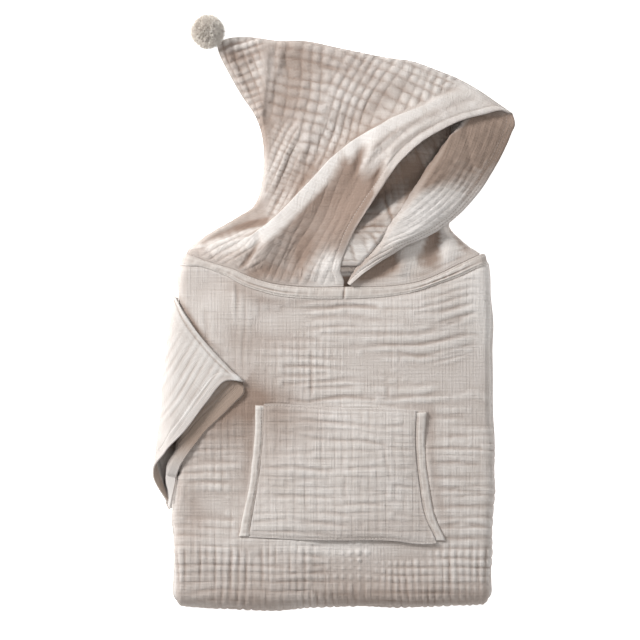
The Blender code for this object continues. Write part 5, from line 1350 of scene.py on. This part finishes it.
def makePocket():
    look = pocketLook
    s, t = np.meshgrid(np.linspace(0, 1, look["across"]), np.linspace(0, 1, look["down"]))
    left, right = pocketSide(406 + 135 * t)
    x = left + (right - left) * s
    y = line(pocketTop, x) * (1 - t) + line(pocketFoot, x) * t
    left, right = pocketSide(y)
    x = left + (right - left) * s
    lift = look["belly"] * (4 * s * (1 - s)) ** 0.7 * (4 * t * (1 - t)) ** 0.6
    fromTop, fromFoot = y - line(pocketTop, x), line(pocketFoot, x) - y
    near = fade(np.minimum(x - left, right - x) / 4) * fade(fromTop - 1, 5) * fade(fromFoot - 1.5, 5)
    relief = (1.12 * puckers(x, y, look) + 0.7 * creases(pocketCreases, x, y, 9)) * near
    hem = -0.55 * bell(fromTop - look["topHem"], 0.7) - 0.5 * bell(fromFoot - look["footHem"], 0.9)
    relief = relief + hem + cloud(x / 36, y / 26, 93) * near
    z = topHeight(x, y) + body["gap"] + look["wall"] + lift + 0.9 - 0.75 * fade(7 - fromFoot, 7) + relief
    grid = beside(x, y, z)
    up = topNormal(x, y)
    for far in (fromTop - look["topHem"], fromFoot - look["footHem"]):
        at = np.argmin(np.abs(far), axis=0), np.arange(look["across"])
        sew(grid[at], up[at])
    # painted crease shade and painted shade strokes
    piece = makePiece("pocketPanel", grid, gridFaces(*x.shape), beside(x + 900, y),
                      shaded(0.9 * creaseShadeOf(relief, 1.2), pocketShades, x, y), gauzeCloth)
    thicken(piece, look["wall"])
    return settle(piece, "pocket")


pocket = makePocket()
stripLook = {"long": 190, "across": 19, "high": 2.7, "seam": 0.8, "shutEnd": 1.8}


def makeBinding(name, table, node, inner):
    look = stripLook
    y = np.linspace(table[0][0], table[-1][0], look["long"])
    sides = curve(table, y)
    a = np.linspace(0, 1, look["across"])
    x = sides[:, :1] + (sides[:, 1:] - sides[:, :1]) * a[None]
    x = x + 0.25 * cloud(y / 13, y * 0, 95)[:, None]
    yAll, aAll = np.broadcast_arrays(y[:, None], a[None])
    crown = (1 - np.abs(2 * aAll - 1) ** 4) ** 0.6
    seamAt = look["seam"] if inner == "right" else 1 - look["seam"]
    groove = bell(aAll - seamAt, 0.07)
    soft = 0.3 * cloud(yAll / 3.6, aAll * 2, 96) + 0.4 * cloud(yAll / 11, aAll * 1.3, 97)
    h = 0.2 + look["high"] * crown - 0.5 * groove + soft * crown
    h = np.maximum(h, 1.9 * fade((aAll if inner == "right" else 1 - aAll) - 0.7, 0.2))
    h = h * (0.04 + 0.96 * fade(np.minimum(yAll - y[0], y[-1] - yAll) / look["shutEnd"]))
    grid = beside(x, yAll, topHeight(x, yAll) + h)
    k = int(seamAt * (look["across"] - 1) + 0.5)
    sew(grid[3:-3, k], topNormal(x, yAll)[3:-3, k])
    # painted crease shade
    piece = makePiece(name, grid, gridFaces(*x.shape), beside(x + 1300, yAll),
                      creaseShadeOf(h - look["high"] + 0.4, 1.2), bindingCloth)
    return settle(piece, node)


makeBinding("pocketBindingLeft", bindingLeft, "pocket_binding_left", "right")
makeBinding("pocketBindingRight", bindingRight, "pocket_binding_right", "left")


# the pompom: short curly yarn on a core
pompomLook = {"at": (207.8, 31.8, 16.9), "core": 9, "reach": 17.7, "strands": 3400, "thick": 0.38, "seed": 5}


def makePompom():
    look = pompomLook
    rng = np.random.RandomState(look["seed"])
    n = look["strands"]
    k = np.arange(n) + 0.5
    lift, turn = 1 - 2 * k / n, k * math.pi * (1 + math.sqrt(5))
    away = beside(np.sqrt(1 - lift**2) * np.cos(turn), np.sqrt(1 - lift**2) * np.sin(turn), lift)
    away += rng.normal(0, 0.05, away.shape)
    away /= norm(away, axis=1, keepdims=True)
    side = np.cross(away, rng.normal(0, 1, away.shape))
    side /= norm(side, axis=1, keepdims=True)
    other = np.cross(away, side)
    clump = 0.5 * cloud(away[:, 0] * 3.1 + 9, away[:, 1] * 3.1 + away[:, 2] * 2.3 + 9, 61)
    reach = look["reach"] - rng.rand(n) ** 2 * 4.4 + 1.6 * clump
    curl, phase = rng.uniform(0.8, 2.4, n), rng.uniform(0, 6.28, n)
    reach = np.minimum(reach, (look["at"][2] - 1 - 1.5 * curl) / np.maximum(-away[:, 2], 0.05))
    points, paintedShade, rings, sides = [], [], 6, 3
    for j in range(rings):
        f = j / (rings - 1)
        r = look["core"] * 0.7 + (reach - look["core"] * 0.7) * f
        bend = curl * f**1.5
        twist = phase + 3.4 * f
        over, up = ((bend * wave(twist) * 1.4)[:, None] for wave in (np.cos, np.sin))
        mid = away * r[:, None] + side * over + other * up
        thick = look["thick"] * (1 if j < rings - 1 else 0.35)
        for s in range(sides):
            a = 2 * math.pi * s / sides
            points.append(mid + (side * math.cos(a) + other * math.sin(a)) * thick)
            # painted shade towards the core between the strands, painted highlight on the side towards +x
            paintedShade.append(0.95 * fade(1.1 - (norm(mid, axis=1) - 9) / 7.6) - 0.5 * fade(mid[:, 0] + 2, 14))
    per = rings * sides
    points = np.array(points).transpose(1, 0, 2).reshape(-1, 3)
    paintedShade = np.array(paintedShade).T.ravel()
    faces = (gridFaces(rings, sides, 0, True)[None] + (np.arange(n) * per)[:, None, None]).reshape(-1, 4)
    ball = bmesh.new()
    bmesh.ops.create_icosphere(ball, subdivisions=4, radius=look["core"] + 1.2)
    start = len(points)
    corePoints = np.array([v.co[:] for v in ball.verts])
    coreFaces = [[start + v.index for v in f.verts] for f in ball.faces]
    ball.free()
    points = np.concatenate([points, corePoints])
    # the core is painted fully shaded
    paintedShade = np.concatenate([paintedShade, np.ones(len(corePoints))])
    at = np.array(look["at"])
    points = points * (1, -1, 1) + at
    laid = points[:, :2] + points[:, 2:3]
    faces = [*faces.tolist(), *coreFaces]
    piece = makePiece("pompomYarns", points, faces, laid, paintedShade, pompomYarn, True, False)
    return settle(piece, "pompom")


makePompom()


# a stitch's rings: share of its length, thickness and rise
stitchRings = ((0, 0.5, -0.15), (0.22, 1, 0.07), (0.5, 1.05, 0.12), (0.78, 1, 0.07), (1, 0.5, -0.15))


# one small rounded stitch after another along each path
def makeStitches():
    points, faces, stitchShades, sides = [], [], [], 5
    for path, normals, tone, long, thick, step in threads:
        run = np.concatenate([[0], np.cumsum(norm(np.diff(path, axis=0), axis=1))])
        keep = np.concatenate([[True], np.diff(run) > 1e-6])
        run, path, normals = run[keep], path[keep], normals[keep]
        smoothed = path.copy()
        for _ in range(3):
            smoothed[1:-1] = (smoothed[:-2] + smoothed[1:-1] * 2 + smoothed[2:]) / 4
        for at in np.arange(step, run[-1] - step, step):
            p, q = (np.array([np.interp(s, run, smoothed[:, i]) for i in range(3)])
                    for s in (at - long / 2, at + long / 2))
            up = np.array([np.interp(at, run, normals[:, i]) for i in range(3)])
            up /= max(norm(up), 1e-9)
            way = q - p
            way /= max(norm(way), 1e-9)
            across = np.cross(way, up)
            start = len(points)
            for f, r, h in stitchRings:
                centre = p + (q - p) * f + up * h
                for s in range(sides):
                    a = 2 * math.pi * s / sides
                    points.append(centre + (across * math.cos(a) + up * math.sin(a)) * thick * r)
                    stitchShades.append(tone)
            faces += gridFaces(5, sides, start, True).tolist()
            faces.append([start + s for s in range(sides)])
            faces.append([start + 4 * sides + s for s in range(sides)][::-1])
    points = np.array(points)
    piece = makePiece("stitches", points, faces, points[:, :2], stitchShades, sewingThread, True, False)
    settle(piece)


makeStitches()


studio = {"view": 0.64, "at": (-0.014, -0.0075, 2), "floor": (0.94, 0.935, 0.93, 1), "floorGlow": 0.75,
          "sky": 0.29}
camera = addObject("camera", bpy.data.cameras.new("camera"))
camera.data.type = "ORTHO"
camera.data.ortho_scale = studio["view"]
camera.data.clip_end = 10
camera.location = studio["at"]
bpy.context.scene.camera = camera

floorMesh = bpy.data.meshes.new("floor")
floorMesh.from_pydata([(-4, -4, 0), (4, -4, 0), (4, 4, 0), (-4, 4, 0)], [], [(0, 1, 2, 3)])
floor = addObject("floor", floorMesh)
floorPaint = Finish("floorPaint")
floorPaint.fix({"Base Color": studio["floor"], "Roughness": 0.9, "Emission Color": (1, 1, 1, 1),
                "Emission Strength": studio["floorGlow"]})
floorMesh.materials.append(floorPaint.material)


def lamp(name, way, size, power, colour):
    light = bpy.data.lights.new(name, "AREA")
    light.size, light.energy, light.color = size, power, colour
    made = addObject(name, light)
    made.location = way
    made.rotation_euler = (-made.location).to_track_quat("-Z", "Y").to_euler()


lamp("key", (-1.42, 0.92, 1.05), 0.58, 38.5, (1, 0.992, 0.985))
lamp("fill", (0.5, 0.2, 3), 1.6, 22, (1, 0.995, 0.99))
world = bpy.data.worlds.new("world")
world.use_nodes = True
for socket, value in (("Color", (1, 1, 1, 1)), ("Strength", studio["sky"])):
    world.node_tree.nodes["Background"].inputs[socket].default_value = value
bpy.context.scene.world = world
bpy.context.scene.view_settings.view_transform = "Standard"
